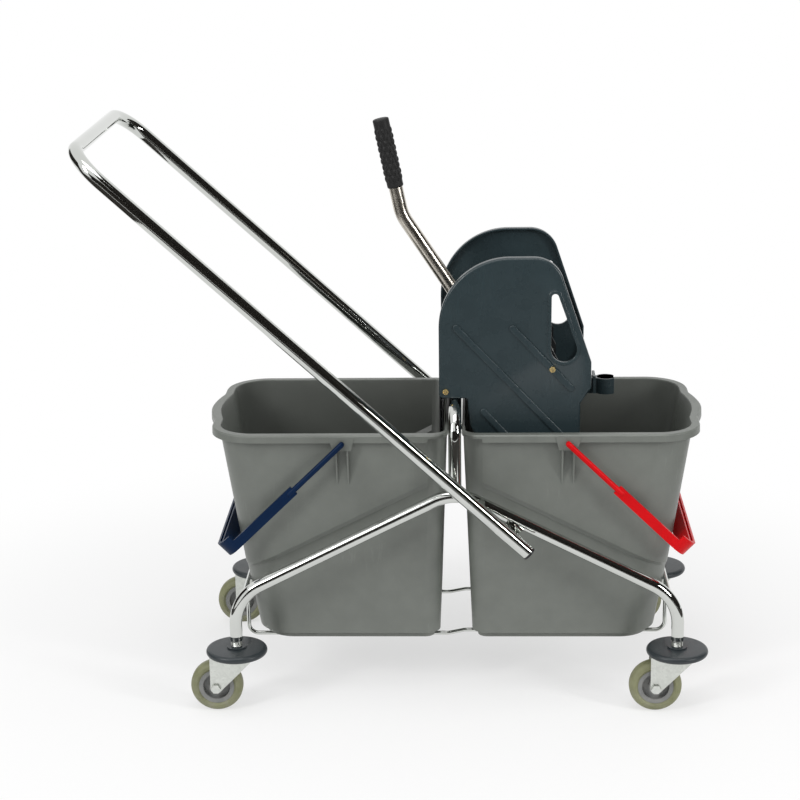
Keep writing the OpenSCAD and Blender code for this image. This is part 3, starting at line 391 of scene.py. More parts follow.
def plastic(name, colour, rough, depth=0.25, wear=1.35, marks=0.66, dust=0.0, gloss=0.5, insideShade=0.0):
    k = plasticLook
    mat, tree, bsdf, vec = startMaterial(name)
    skin = placeGroup(tree, "mouldedSkin", vec)
    rubs = placeGroup(tree, "rubMarks", vec, Amount=marks)["Mask"]
    edges = placeGroup(tree, "edgeWear", vec)["Mask"]
    last = toned(tree, skin["Tone"], k["toneCut"], colour, k["tones"])
    last = laid(tree, rubs, k["rubShare"], last, shade(colour, k["rubTone"]))
    last = laid(tree, edges, k["wearShare"], last, shade(colour, wear))
    if dust:
        dusty = placeGroup(tree, "floorDust", vec, Top=dust)["Mask"]
        last = laid(tree, dusty, k["dustShare"], last, k["dustColour"])
    if insideShade:  # painted shade: darker where the "inside" attribute of the mesh says so
        paintedShadeMask = addNode(tree, "ShaderNodeAttribute", attribute_name="inside")
        last = mixColour(tree, paintedShadeMask.outputs["Fac"], last, shade(colour, insideShade))
    tree.links.new(last, bsdf.inputs["Base Color"])
    drift = roughened(tree, skin["Tone"], k["roughCut"], rough, k["roughBand"])
    polish = mathNode(tree, "MULTIPLY", rubs, k["rubPolish"])
    tree.links.new(mathNode(tree, "ADD", drift, polish, True), bsdf.inputs["Roughness"])
    bsdf.inputs["Specular IOR Level"].default_value = gloss
    bump(tree, bsdf, skin["Height"], depth, k["bumpHeight"])
    return mat


# bright plated metal: smears in roughness, hairlines in a very low bump
platedLook = {
    "toneCut": (0.35, 0.7), "tones": (1.0, 0.96), "roughCut": (0.3, 0.75), "smeared": 1.8,
    "bumpHeight": 0.0003,
}


def plated(name, colour, rough, hairline=(60, 60, 60), depth=0.03):
    k = platedLook
    mat, tree, bsdf, vec = startMaterial(name)
    skin = placeGroup(tree, "platedSkin", vec, Hairline=hairline)
    tree.links.new(toned(tree, skin["Smear"], k["toneCut"], colour, k["tones"]), bsdf.inputs["Base Color"])
    smears = rangeNode(tree, skin["Smear"], k["roughCut"], (rough, rough * k["smeared"]))
    tree.links.new(smears, bsdf.inputs["Roughness"])
    bsdf.inputs["Metallic"].default_value = 1.0
    bump(tree, bsdf, skin["Line"], depth, k["bumpHeight"])
    return mat


# zinc plated sheet: small crystals in tone, smears in roughness
zincLook = {
    "crystals": 320.0, "tones": (0.93, 1.05), "hairline": (90, 90, 90),
    "dust": 0.09, "dustShare": 0.2, "dustColour": (0.4, 0.39, 0.36, 1),
    "roughCut": (0.3, 0.7), "roughBand": (-0.06, 0.08), "depth": 0.08, "bumpHeight": 0.0003,
}


def zincSheet(name, colour, rough):
    k = zincLook
    mat, tree, bsdf, vec = startMaterial(name)
    cells = addNode(tree, "ShaderNodeTexVoronoi", {"Scale": k["crystals"], "Vector": vec})
    split = addNode(tree, "ShaderNodeSeparateColor", {0: cells.outputs["Color"]})
    skin = placeGroup(tree, "platedSkin", vec, Hairline=k["hairline"])
    dusty = placeGroup(tree, "floorDust", vec, Top=k["dust"])["Mask"]
    tone = toned(tree, split.outputs[0], (0.0, 1.0), colour, k["tones"])
    tree.links.new(laid(tree, dusty, k["dustShare"], tone, k["dustColour"]), bsdf.inputs["Base Color"])
    smears = roughened(tree, skin["Smear"], k["roughCut"], rough, k["roughBand"])
    tree.links.new(smears, bsdf.inputs["Roughness"])
    bsdf.inputs["Metallic"].default_value = 1.0
    bump(tree, bsdf, skin["Line"], k["depth"], k["bumpHeight"])
    return mat


# rubber: dull, dusty near the floor, with a soft fine grain
rubberLook = {
    "grain": 900.0, "mottle": 65.0, "toneCut": (0.35, 0.65), "tones": (0.86, 1.12),
    "wearShare": 0.4, "wearTone": 1.5, "dustShare": 0.4, "dustColour": (0.36, 0.35, 0.32, 1),
    "roughCut": (0.3, 0.7), "roughBand": (-0.08, 0.08), "gloss": 0.35, "depth": 0.3, "bumpHeight": 0.0005,
}


def rubber(name, colour, rough, dust=0.08):
    k = rubberLook
    mat, tree, bsdf, vec = startMaterial(name)
    skin = placeGroup(tree, "mouldedSkin", vec, Grain=k["grain"], Mottle=k["mottle"])
    dusty = placeGroup(tree, "floorDust", vec, Top=dust)["Mask"]
    edges = placeGroup(tree, "edgeWear", vec)["Mask"]
    last = toned(tree, skin["Tone"], k["toneCut"], colour, k["tones"])
    last = laid(tree, edges, k["wearShare"], last, shade(colour, k["wearTone"]))
    last = laid(tree, dusty, k["dustShare"], last, k["dustColour"])
    tree.links.new(last, bsdf.inputs["Base Color"])
    drift = roughened(tree, skin["Tone"], k["roughCut"], rough, k["roughBand"])
    tree.links.new(drift, bsdf.inputs["Roughness"])
    bsdf.inputs["Specular IOR Level"].default_value = k["gloss"]
    bump(tree, bsdf, skin["Height"], k["depth"], k["bumpHeight"])
    return mat


finishes = {
    "chrome": plated("chromeTube", (0.62, 0.635, 0.61), 0.035),
    "nickel": plated("leverNickel", (0.64, 0.6, 0.53), 0.2),
    "zinc": zincSheet("zincSheet", (0.68, 0.7, 0.66), 0.32),
    # the buckets' plastic takes a painted shade at half its colour on the inner wall and floor
    "bucket": plastic("bucketGrey", (0.15, 0.161, 0.145), 0.4, marks=0.72, dust=0.11, insideShade=0.5),
    "press": plastic("pressSlate", (0.025, 0.039, 0.044), 0.27, depth=0.22, wear=1.7, gloss=0.4),
    "black": plastic("jawBlack", (0.008, 0.009, 0.01), 0.4, wear=1.8),
    "blue": plastic("bailBlue", (0.0004, 0.0125, 0.047), 0.42, depth=0.12, wear=1.15, gloss=0.12),
    "red": plastic("bailRed", (0.56, 0.0003, 0.003), 0.36, depth=0.12, wear=1.05, gloss=0.14),
    "tyre": rubber("tyreOlive", (0.21, 0.215, 0.115), 0.5),
    "core": plastic("coreGrey", (0.2, 0.205, 0.2), 0.42, dust=0.07),
    "bumper": plastic("bumperGrey", (0.028, 0.035, 0.039), 0.36, gloss=0.4),
    "grip": rubber("gripRubber", (0.012, 0.012, 0.012), 0.55, dust=0.01),
    "brass": plated("screwBrass", (0.86, 0.66, 0.3), 0.12, hairline=(200, 200, 200), depth=0.05),
}
slotFinish = {
    "chrome_tube": "chrome", "lever_steel": "nickel", "zinc_steel": "zinc", "bumper_plastic": "bumper",
    "core_plastic": "core", "tyre_rubber": "tyre", "bucket_plastic": "bucket", "blue_plastic": "blue",
    "red_plastic": "red", "press_plastic": "press", "black_plastic": "black", "grip_rubber": "grip",
    "screw_brass": "brass",
}
slotOf = {s["node"]: s["material_slot"] for s in frame["record"]["subparts"]}
bodyOf = {n: body for body, members in frame["record"]["behaviour"]["bodies"].items() for n in members}
for name, obj in nodes.items():
    obj.data.materials.clear()
    obj.data.materials.append(finishes[slotFinish[slotOf[name]]])
print("materials ready:", len(finishes))


# surface helpers

meshing = {"bevelAngle": 32.0, "flatAngle": 1.0, "mergeSteps": 1e6}  # degrees, degrees, steps in a metre


def gridFaces(rows, cols):  # quads of a grid of points, each row closed on itself
    i, j = np.meshgrid(np.arange(rows - 1), np.arange(cols), indexing="ij")
    k = (j + 1) % cols
    near, far = i * cols, (i + 1) * cols
    return np.stack([near + j, near + k, far + k, far + j], -1).reshape(-1, 4)


def gridMesh(name, grid, caps=False):  # a mesh of a grid of points, its open ends fanned to a point
    rows, cols = grid.shape[:2]
    pts = grid.reshape(-1, 3)
    faces = gridFaces(rows, cols).tolist()
    if caps:
        n, last = len(pts), (rows - 1) * cols
        pts = np.vstack([pts, grid[0].mean(0), grid[-1].mean(0)])
        j = np.arange(cols)
        k = (j + 1) % cols
        faces += np.stack([np.full(cols, n), k, j], -1).tolist()
        faces += np.stack([np.full(cols, n + 1), last + j, last + k], -1).tolist()
    return newMesh(name, pts, faces)


def prismMesh(name, profile, depth):  # a flat outline pushed along a vector, with both ends closed
    profile = np.asarray(profile, float)
    n = len(profile)
    j = np.arange(n)
    k = (j + 1) % n
    faces = np.stack([j, k, k + n, j + n], -1).tolist() + [j[::-1].tolist(), (j + n).tolist()]
    return newMesh(name, np.vstack([profile, profile + np.asarray(depth, float)]), faces)


def outwards(mesh):  # turns the faces of a closed shape out
    bm = bmesh.new()
    bm.from_mesh(mesh)
    bmesh.ops.recalc_face_normals(bm, faces=bm.faces)
    bm.to_mesh(mesh)
    bm.free()
    return mesh


def joined(name, meshes):  # several meshes as one
    bm = bmesh.new()
    for mesh in meshes:
        bm.from_mesh(mesh)
        bpy.data.meshes.remove(mesh)
    out = bpy.data.meshes.new(name)
    bm.to_mesh(out)
    bm.free()
    return out


def addPiece(name, mesh, finish, body, stands=(), smooth=35.0, bevel=0.0, segments=2):
    mesh.materials.append(finishes[finish])
    mesh.shade_smooth()
    mesh.set_sharp_from_angle(angle=math.radians(smooth))
    obj = show(name, mesh)
    if bevel:
        mod = obj.modifiers.new("roundedEdges", "BEVEL")
        mod.width = bevel
        mod.segments = segments
        mod.limit_method = "ANGLE"
        mod.angle_limit = math.radians(meshing["bevelAngle"])
        mod.harden_normals = True
    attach(obj, body)
    if stands:
        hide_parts(*stands)
    return obj


def mergedCopy(node):  # a CAD node's triangles with their corners merged and flat neighbours joined
    k = meshing
    src = nodes[node].data
    co = np.zeros(len(src.vertices) * 3, np.float32)
    src.vertices.foreach_get("co", co)
    src.calc_loop_triangles()
    tri = np.zeros(len(src.loop_triangles) * 3, np.int32)
    src.loop_triangles.foreach_get("vertices", tri)
    steps = np.round(co.reshape(-1, 3) * k["mergeSteps"]).astype(np.int64)
    keys, back = np.unique(steps, axis=0, return_inverse=True)
    tri = back.reshape(-1)[tri].reshape(-1, 3)
    tri = tri[(tri[:, 0] != tri[:, 1]) & (tri[:, 1] != tri[:, 2]) & (tri[:, 0] != tri[:, 2])]
    mesh = newMesh(node + "_soft", keys / k["mergeSteps"], tri.tolist())
    mesh.validate()
    bm = bmesh.new()
    bm.from_mesh(mesh)
    bmesh.ops.dissolve_limit(bm, angle_limit=math.radians(k["flatAngle"]), verts=bm.verts, edges=bm.edges)
    bm.to_mesh(mesh)
    bm.free()
    return mesh


def unit(v):
    return v / np.linalg.norm(v)


def bentPath(corners, radius, steps):  # straight runs with an arc of one radius at each inner corner
    corners = np.asarray(corners, float)
    out = [corners[:1]]
    for p, q, r in zip(corners[:-2], corners[1:-1], corners[2:]):
        u, v = unit(q - p), unit(r - q)
        n = unit(v - u.dot(v) * u)
        turn = math.acos(np.clip(u.dot(v), -1, 1))
        a = np.linspace(0, turn, steps + 1)[:, None]
        start = q - radius * math.tan(turn / 2) * u
        out.append(start + radius * ((1 - np.cos(a)) * n + np.sin(a) * u))
    out.append(corners[-1:])
    return np.vstack(out)


def tubeAlong(path, radius, sides, side, lip=0.0, lipSteps=6):
    # a circle carried along a path: centre + r (cos b * side + sin b * tangent x side), with the side
    # turned from step to step; lip rounds both ends with a quarter circle of that radius
    path = np.asarray(path, float)
    steps = np.diff(path, axis=0)
    steps /= np.linalg.norm(steps, axis=1)[:, None]
    tangent = np.vstack([steps[:1], steps[:-1] + steps[1:], steps[-1:]])
    tangent /= np.linalg.norm(tangent, axis=1)[:, None]
    radii = np.full(len(path), radius, float)
    if lip:
        q = np.linspace(0, math.pi / 2, lipSteps)
        drop, inset = lip * (1 - np.sin(q)), lip * (1 - np.cos(q))
        path = np.vstack([path[0] + tangent[0] * inset[:, None], path[1:-1],
                          path[-1] - tangent[-1] * inset[::-1, None]])
        radii = np.concatenate([radius - drop, radii[1:-1], (radius - drop)[::-1]])
        tangent = np.vstack([np.repeat(tangent[:1], lipSteps, 0), tangent[1:-1],
                             np.repeat(tangent[-1:], lipSteps, 0)])
    sideAt = np.zeros_like(path)
    current = np.asarray(side, float)
    for i, t in enumerate(tangent):
        current = unit(current - current.dot(t) * t)
        sideAt[i] = current
    b = np.linspace(0, 2 * math.pi, sides, endpoint=False)[None, :, None]
    up = np.cross(tangent, sideAt)
    ring = np.cos(b) * sideAt[:, None, :] + np.sin(b) * up[:, None, :]
    return path[:, None, :] + radii[:, None, None] * ring


def tubeMesh(name, corners, bend, radius, sides=40, side=(1, 0, 0), lip=0.0006, steps=20):
    path = bentPath(np.asarray(corners) + arch, bend, steps)
    return gridMesh(name, tubeAlong(path, radius, sides, side, lip), caps=True)


# chrome tubes, with the trolley's own sizes in metres from the middle of its arch

tubes = {
    "frameRadius": 0.009, "frameBend": 0.065, "stemX": 0.314, "sideY": 0.165,
    "legZ": 0.1058, "apexZ": 0.329, "slope": 26.8,
    "archZ": 0.438, "archBend": 0.035,
    "handleRadius": 0.010, "handleBend": 0.055, "handleAngle": 42.65, "handleLength": 0.827,
    "crossX": 0.035, "tail": 0.090, "handleY": 0.200, "handleSides": 44,
    "rodRadius": 0.003, "rodBend": 0.014, "rodZ": 0.0845, "rodY": 0.082, "rodJog": 0.012,
    "rodSides": 20, "rodSteps": 10, "endRodAngle": 32.0, "endRodIn": 0.006,
    "beadRadius": 0.0016, "beadSteps": 48, "beadSides": 10,
    "ripple": (0.12, 23, 7),  # depth of the bead's ripple and its two counts round the post
}


def weldBead(name, centre, tube, post):
    # a rippled bead on the line where an upright tube of radius post meets a lying one of radius tube:
    # (post cos t, post sin t, sqrt(tube^2 - (post sin t)^2))
    k = tubes
    t = np.linspace(0, 2 * math.pi, k["beadSteps"] + 1)
    across = post * np.sin(t)
    up = np.sqrt(np.maximum(tube ** 2 - across ** 2, 0))
    line = np.stack([post * np.cos(t), across, up], -1) + np.asarray(centre) + arch
    depth, fine, coarse = k["ripple"]
    ripple = 1 + depth * np.sin(t * fine) * np.sin(t * coarse)
    grid = tubeAlong(line, k["beadRadius"], k["beadSides"], (0, 0, 1))
    mid = line[:, None, :]
    return gridMesh(name, mid + (grid - mid) * ripple[:, None, None])


def addTube(name, node, corners, bend, radius, **shape):  # a chrome tube on the frame, in a node's place
    mesh = tubeMesh(name, corners, bend, radius, **shape)
    addPiece(name, mesh, "chrome", "frame", [node])


def makeTubes():
    k = tubes
    slope, endTurn = math.radians(k["slope"]), math.radians(k["endRodAngle"])
    x, y, bend = k["stemX"], k["sideY"], k["frameBend"]
    cornerZ = k["apexZ"] - x * math.tan(slope)
    apexArc = k["apexZ"] - bend / math.cos(slope) + bend
    bendZ = cornerZ - bend * math.tan(math.pi / 4 - slope / 2)
    endX = x - bend + bend * math.cos(endTurn)
    endZ = bendZ + bend * math.sin(endTurn)
    near, far = -k["rodY"] - k["rodJog"] / 2, -k["rodY"] + k["rodJog"] / 2
    rod = np.array([(-endX, near, endZ), (-endX, near, k["rodZ"]), (-k["rodJog"], near, k["rodZ"]),
                    (k["rodJog"], far, k["rodZ"]), (endX, far, k["rodZ"]), (endX, far, endZ)])
    for label, s in (("front", -1), ("rear", 1)):
        path = [(-x, s * y, k["legZ"]), (-x, s * y, cornerZ), (0, s * y, k["apexZ"]),
                (x, s * y, cornerZ), (x, s * y, k["legZ"])]
        addTube("sideTube_" + label, "side_frame_" + label, path, bend, k["frameRadius"], side=(0, 1, 0))
        addTube("cradleRod_" + label, "cradle_rod_" + label, rod * (-s, -s, 1), k["rodBend"], k["rodRadius"],
                sides=k["rodSides"], steps=k["rodSteps"])
    reach = y - k["endRodIn"]
    for label, s in (("left", -1), ("right", 1)):
        path = [(s * endX, -reach, endZ), (s * endX, reach, endZ)]
        addTube("endRod_" + label, "end_rod_" + label, path, k["rodBend"], k["rodRadius"], sides=k["rodSides"])
    path = [(0, -y, apexArc), (0, -y, k["archZ"]), (0, y, k["archZ"]), (0, y, apexArc)]
    addTube("archTube", "press_arch", path, k["archBend"], k["frameRadius"], lip=0.0)
    beads = [weldBead("archWelds", (0, s * y, apexArc), k["frameRadius"], k["frameRadius"]) for s in (-1, 1)]
    addPiece("archWelds", joined("archWelds", beads), "chrome", "frame")
    a, across = math.radians(k["handleAngle"]), np.array([0, k["handleY"], 0])
    cross = np.array([k["crossX"], 0, k["apexZ"] - k["crossX"] * math.tan(slope)])
    up = np.array([-math.cos(a), 0, math.sin(a)])
    foot, bar = cross - k["tail"] * up, cross + (k["handleLength"] - k["tail"]) * up
    path = [foot - across, bar - across, bar + across, foot + across]
    addTube("handleTube", "push_handle", path, k["handleBend"], k["handleRadius"],
            sides=k["handleSides"], side=(0, 1, 0))


makeTubes()
print("chrome tubes ready")


# buckets: level and slanted rings of a rounded outline, lofted from the foot up, over the rim and down inside

bucket = {
    "z": 0.0878, "height": 0.3185, "length": 0.336, "halfWidth": 0.152, "wall": 0.003,
    "outerDraft": 0.049, "innerDraft": 0.012, "taperHigh": 0.03, "taperLow": 0.075,
    "cornerIn": 0.022, "cornerOut": 0.052, "leastIn": 0.006, "leastOut": 0.01,
    "lip": 0.010, "lipOver": 0.0015, "lipShort": 0.0005,
    "rimOver": 0.010, "rimThick": 0.003, "rimRound": 0.002, "innerRound": 0.001,
    "skirt": 0.011, "notchSkirt": 0.0055, "notch": 0.028, "notchPast": 0.002, "notchEdge": 0.0005,
    "spout": 0.011, "spoutShare": 0.72, "innerSpout": 0.8,
    "footInset": 0.008, "foot": 0.005, "footStep": 0.004,
    "shoulderRise": 0.016, "shoulderHeight": 0.008,
    "cornerSteps": 20, "endSteps": 48, "bevel": 0.0011, "bevelSteps": 3,
    "insideShadeRows": ((11, 12, 13), (0.0, 0.6, 1.0)),  # rows of the loft and how far the painted shade on the inner wall has come in there
    "pivotIn": 0.148, "lugOut": 0.001, "lugTop": 0.018, "lugLow": 0.013, "lugHeight": 0.022, "lugUnder": 0.002,
    "finX": 0.008, "finThick": 0.0025, "finLength": 0.056, "finIn": 0.001, "finUp": 0.001, "finDrop": 0.010,
    "finEdge": 0.0005, "sunk": 0.0015,  # depth of a lug's or a fin's root in the wall
}


def bucketOutline(x0, x1, ya, yb, r0, r1, spout):
    # corner arcs joined by straight sides, the outer end bulged by spout * cos(90 t / share), the half
    # width going from ya to yb along x
    k = bucket
    q = np.linspace(0, math.pi / 2, k["cornerSteps"] + 1)
    xs, gap = max(k["lip"] + k["notch"], x0 + r0 + k["notchPast"]), k["notchEdge"]
    y1 = ya - r1
    t = np.linspace(-1, 1, k["endSteps"] + 1)[1:-1]
    swell = np.where(np.abs(t) < k["spoutShare"], np.cos(np.pi / 2 * t / k["spoutShare"]), 0)

    def arc(cx, cy, r, start):
        return np.stack([cx + r * np.cos(start + q), cy + r * np.sin(start + q)], -1)

    pts = np.vstack([
        arc(x0 + r0, -ya + r0, r0, math.pi), [[xs - gap, -ya], [xs + gap, -ya]],
        arc(x1 - r1, -y1, r1, 1.5 * math.pi), np.stack([x1 + spout * swell, t * y1], -1),
        arc(x1 - r1, y1, r1, 0.0), [[xs + gap, ya], [xs - gap, ya]],
        arc(x0 + r0, ya - r0, r0, 0.5 * math.pi)])
    pts[:, 1] *= 1 + (yb / ya - 1) * (pts[:, 0] - x0) / (x1 - x0)
    return pts


def bucketGrid():
    k = bucket
    z0, rim, rimX = k["z"], k["z"] + k["height"], k["lip"] + k["length"]
    slope = math.tan(math.radians(tubes["slope"]))
    lowShare = lambda z: 1 - (z - z0) / k["height"]  # 1 at the foot, 0 at the rim
    endIn = lambda z: k["lip"] + k["lipOver"] + k["innerDraft"] * lowShare(z)
    endOut = lambda z: rimX - k["rimOver"] - k["outerDraft"] * lowShare(z)
    sideHigh = lambda z: k["halfWidth"] - k["rimOver"] - (rim - z) * k["taperHigh"]
    sideLow = lambda z: k["halfWidth"] - k["rimOver"] - (rim - z) * k["taperLow"]
    shoulderZ = lambda x: tubes["apexZ"] - x * slope + k["shoulderRise"]
    skirtZ = lambda x: np.where(x < k["lip"] + k["notch"], rim - k["notchSkirt"], rim - k["skirt"])

    def level(z, half, out, lip, spout, zs=None):  # a ring at one height, or at the heights zs(x)
        corners = max(k["cornerIn"] + lip, k["leastIn"]), max(k["cornerOut"] + out, k["leastOut"])
        p = bucketOutline(endIn(z) - lip, endOut(z) + out, half + out, half + out, *corners, spout)
        return np.column_stack([p, zs(p[:, 0]) if zs else np.full(len(p), z)])

    def shoulder(dz, half, inset):  # a ring that follows the slanted frame tube
        x0, x1 = endIn(shoulderZ(k["lip"]) + dz), endOut(shoulderZ(rimX - k["outerDraft"]) + dz)
        ya, yb = half(shoulderZ(x0) + dz), half(shoulderZ(x1) + dz)
        p = bucketOutline(x0 + inset, x1 - inset, ya - inset, yb - inset,
                          k["cornerIn"] - inset, k["cornerOut"] - inset, 0)
        return np.column_stack([p, shoulderZ(p[:, 0]) + dz])

    top, w, under = sideHigh(rim), k["wall"], rim - k["rimThick"]
    foot, step = z0 + k["foot"], z0 + k["foot"] + k["footStep"]
    over, lipOver, fi = k["rimOver"], k["lipOver"], k["footInset"]
    skirtIn, lipIn = over - k["rimThick"], lipOver - k["lipShort"]
    sp, spIn = k["spout"], k["spout"] * k["innerSpout"]
    rd, ri = k["rimRound"], k["innerRound"]
    rings = [
        level(z0, sideLow(z0), -fi, -fi, 0),  # foot and outer wall
        level(foot, sideLow(z0), -fi, -fi, 0),
        level(step, sideLow(step), 0, 0, 0),
        shoulder(0, sideLow, 0),
        shoulder(k["shoulderHeight"], sideHigh, 0),
        level(under, top, 0, 0, spIn),
        level(under, top, skirtIn, lipIn, sp),  # skirt and rim
        level(rim, top, skirtIn, lipIn, sp, skirtZ),
        level(rim, top, over, lipOver, sp, skirtZ),
        level(rim - rd, top, over, lipOver, sp),
        level(rim, top, over - rd, lipOver - ri, sp),
        level(rim, top, -w + ri, -w + ri, spIn),  # inner wall and floor
        level(rim - rd, top, -w, -w, spIn),
        shoulder(k["shoulderHeight"] + ri, sideHigh, w),
        shoulder(ri, sideLow, w),
        level(step + rd, sideLow(step), -w, -w, 0),
        level(foot - ri, sideLow(z0), -fi - w, -fi - w, 0),
    ]
    return np.array(rings), sideHigh, rim


def makeBuckets():
    k = bucket
    grid, sideHigh, rim = bucketGrid()
    # painted shade of the inner wall and floor, per point, kept as the "inside" attribute
    rows = np.interp(np.arange(len(grid)), *k["insideShadeRows"])
    inside = np.concatenate([np.repeat(rows, grid.shape[1]), rows[[0, -1]]]).astype(np.float32)
    px, lugZ, lugY = k["lip"] + k["pivotIn"], rim - k["lugHeight"], k["halfWidth"] + k["lugOut"]
    wallY, finLow, lugRim = sideHigh(lugZ) - k["sunk"], lugZ - k["finLength"], rim - k["lugUnder"]
    lugSide = [(-k["lugLow"], lugZ), (k["lugLow"], lugZ), (k["lugTop"], lugRim), (-k["lugTop"], lugRim)]
    finSide = [(lugY - k["finIn"], lugZ + k["finUp"]), (lugY - k["finIn"], lugZ - k["finDrop"]),
               (sideHigh(finLow) - k["finEdge"], finLow), (sideHigh(finLow) - k["sunk"], finLow),
               (wallY, lugZ + k["finUp"])]
    for label, s in (("left", -1), ("right", 1)):
        shell = gridMesh("bucketShell", grid * (s, 1, 1) + arch, caps=True)
        shell.attributes.new("inside", "FLOAT", "POINT").data.foreach_set("value", inside)
        parts = [shell]
        for f in (-1, 1):
            lug = np.array([(px + dx, f * lugY, z) for dx, z in lugSide])
            parts.append(prismMesh("lug", lug * (s, 1, 1) + arch, (0, f * (wallY - lugY), 0)))
            for fx in (px - k["finX"], px + k["finX"]):
                fin = np.array([(fx - k["finThick"] / 2, f * y, z) for y, z in finSide])
                parts.append(prismMesh("fin", fin * (s, 1, 1) + arch, (s * k["finThick"], 0, 0)))
        mesh = outwards(joined("bucketShell_" + label, parts))
        addPiece("bucketShell_" + label, mesh, "bucket", "bucket_" + label,
                 ["bucket_" + label], bevel=k["bevel"], segments=k["bevelSteps"])


makeBuckets()
print("buckets ready")


# press side plates: loops of the outline moved inwards and along y, from the back face round the lip and
# the rounded edge to the front face, with a raised flange round the hand hole and ribs with round ends

press = {
    "hookZ": 0.4473, "left": -0.022, "right": 0.191, "top": 0.6483, "bottom": 0.3473,
    "belly": 0.176, "bellyDown": 0.006, "bellyEase": 0.002, "shoulderUp": 0.016,
    "crown": 0.100, "brow": 0.043, "browX": 0.110, "edgeAngle": 18.5, "corner": 0.006,
    "notchX": 0.018, "notchR": 0.004, "waist": 0.030,
    "neck": ((0.0005, 0.018), (0.004, 0.040)), "neckEnd": (0.001, 0.056),  # off the notch, off the waist
    "face": 0.111, "back": 0.107, "lipEnd": 0.099, "lip": 0.003, "round": 0.0037, "lipRound": 0.0006,
    "holeLow": (0.1525, 0.0707, 0.018), "holeHigh": (0.140, 0.1452, 0.005),  # x, z above the hook, radius
    "flangeWide": 0.0042, "flangeOut": 0.0019, "flangeRound": 0.0012, "flangeLean": 0.2,
    "ribs": [((0.002, 0.1025), (0.160, -0.0646)), ((0.081, 0.1013), (0.1327, 0.0466)),
             ((0.1405, 0.0384), (0.1625, 0.015)), ((0.0405, -0.019), (0.076, -0.058))],
    "ribWide": 0.0095, "ribOut": 0.0022, "ribRound": 0.0014, "ribSunk": 0.0006,
    "bosses": [((0.020, 0.0972), 0.011), ((0.076, -0.053), 0.009)], "bossDepth": 0.010, "bossSunk": 0.0005,
    "cornerSteps": 8, "browSteps": 24, "crownSteps": 48, "holeSteps": (16, 40), "roundSteps": 8,
    "ribSteps": 14, "ribRoundSteps": 5, "bossSteps": 40, "smooth": 40.0,
}


def arcPoints(centre, r, start, end, n):  # points of an arc in degrees
    a = np.radians(np.linspace(start, end, n + 1))[:, None]
    return np.asarray(centre) + r * np.hstack([np.cos(a), np.sin(a)])


def moved(loop, d):  # a closed anticlockwise outline moved inwards by d, each corner along its bisector
    ahead = np.roll(loop, -1, 0) - loop
    ahead /= np.linalg.norm(ahead, axis=1)[:, None]
    behind = np.roll(ahead, 1, 0)
    inward = np.stack([-ahead[:, 1], ahead[:, 0]], -1)
    both = inward + np.stack([-behind[:, 1], behind[:, 0]], -1)
    both /= np.linalg.norm(both, axis=1)[:, None]
    leastCosine = 0.5  # keeps sharp corners from running far
    return loop + d * both / np.maximum(leastCosine, (both * inward).sum(1))[:, None]


def insideLoop(loop, pts):  # whether points lie in a closed outline, by counting crossings
    a, b = loop[None], np.roll(loop, -1, 0)[None]
    x, z = pts[:, :1], pts[:, 1:]
    spans = (a[..., 1] > z) != (b[..., 1] > z)
    drop = np.where(b[..., 1] == a[..., 1], 1, b[..., 1] - a[..., 1])
    cross = a[..., 0] + (z - a[..., 1]) * (b[..., 0] - a[..., 0]) / drop
    return (spans & (x < cross)).sum(1) % 2 == 1


def faceBetween(outer, hole):  # triangles between two flat outlines, as indices into outer followed by hole
    pts = np.vstack([outer, hole])
    n, m = len(outer), len(hole)
    edges = [(i, (i + 1) % n) for i in range(n)] + [(n + i, n + (i + 1) % m) for i in range(m)]
    millimetres = [Vector(q) for q in pts * 1000]
    faces, origins = delaunay_2d_cdt(millimetres, edges, [], 0, 1e-6)[2:4]  # merged within 1e-6 mm
    tri = np.array([[origins[v][0] for v in f] for f in faces])
    centre = pts[tri].mean(1)
    return tri[insideLoop(outer, centre) & ~insideLoop(hole, centre)]


def plateOutline():  # anticlockwise from the lower right corner
    k = press
    h, r, n = k["hookZ"], k["corner"], k["cornerSteps"]
    brow, crown = np.array([k["browX"], k["top"] - k["brow"]]), (k["left"] + k["crown"], k["top"] - k["crown"])
    a = math.radians(k["edgeAngle"])
    edgeTop = brow + k["brow"] * np.array([math.cos(a), math.sin(a)])
    knee = edgeTop[1] - (k["right"] - edgeTop[0]) / math.tan(a)
    bellyZ = h - k["bellyDown"]
    neck = [[k["notchX"] + x, h - z] for x, z in k["neck"]]
    return np.vstack([
        arcPoints((k["belly"] - r, k["bottom"] + r), r, -90, 0, n),
        [[k["belly"], bellyZ - k["bellyEase"]]],
        arcPoints((k["right"] - r, bellyZ + k["shoulderUp"] + r), r, -60, 0, n),
        [[k["right"], knee]],
        arcPoints(brow, k["brow"], k["edgeAngle"], 90, k["browSteps"]),
        arcPoints(crown, k["crown"], 90, 180, k["crownSteps"]),
        arcPoints((k["left"] + r, h + r), r, 180, 270, n),
        arcPoints((k["notchX"] - k["notchR"], h - k["notchR"]), k["notchR"], 90, 0, n),
        neck, [[k["waist"] - k["neckEnd"][0], h - k["neckEnd"][1]]],
        arcPoints((k["waist"] + r, k["bottom"] + r), r, 180, 270, n)])


def holeOutline():  # the outer tangents of a low large circle and a high small one
    k = press
    (lx, lz, lr), (hx, hz, hr) = k["holeLow"], k["holeHigh"]
    low, high = np.array([lx, lz + k["hookZ"]]), np.array([hx, hz + k["hookZ"]])
    d = high - low
    lean = math.degrees(math.atan2(d[1], d[0]))
    spread = math.degrees(math.acos((lr - hr) / np.linalg.norm(d)))
    return np.vstack([arcPoints(high, hr, lean - spread, lean + spread, k["holeSteps"][0]),
                      arcPoints(low, lr, lean + spread, lean + 360 - spread, k["holeSteps"][1])])


def standing(loop, y):  # an outline in x and z, at one y
    return np.column_stack([loop[:, 0], np.full(len(loop), y), loop[:, 1]])


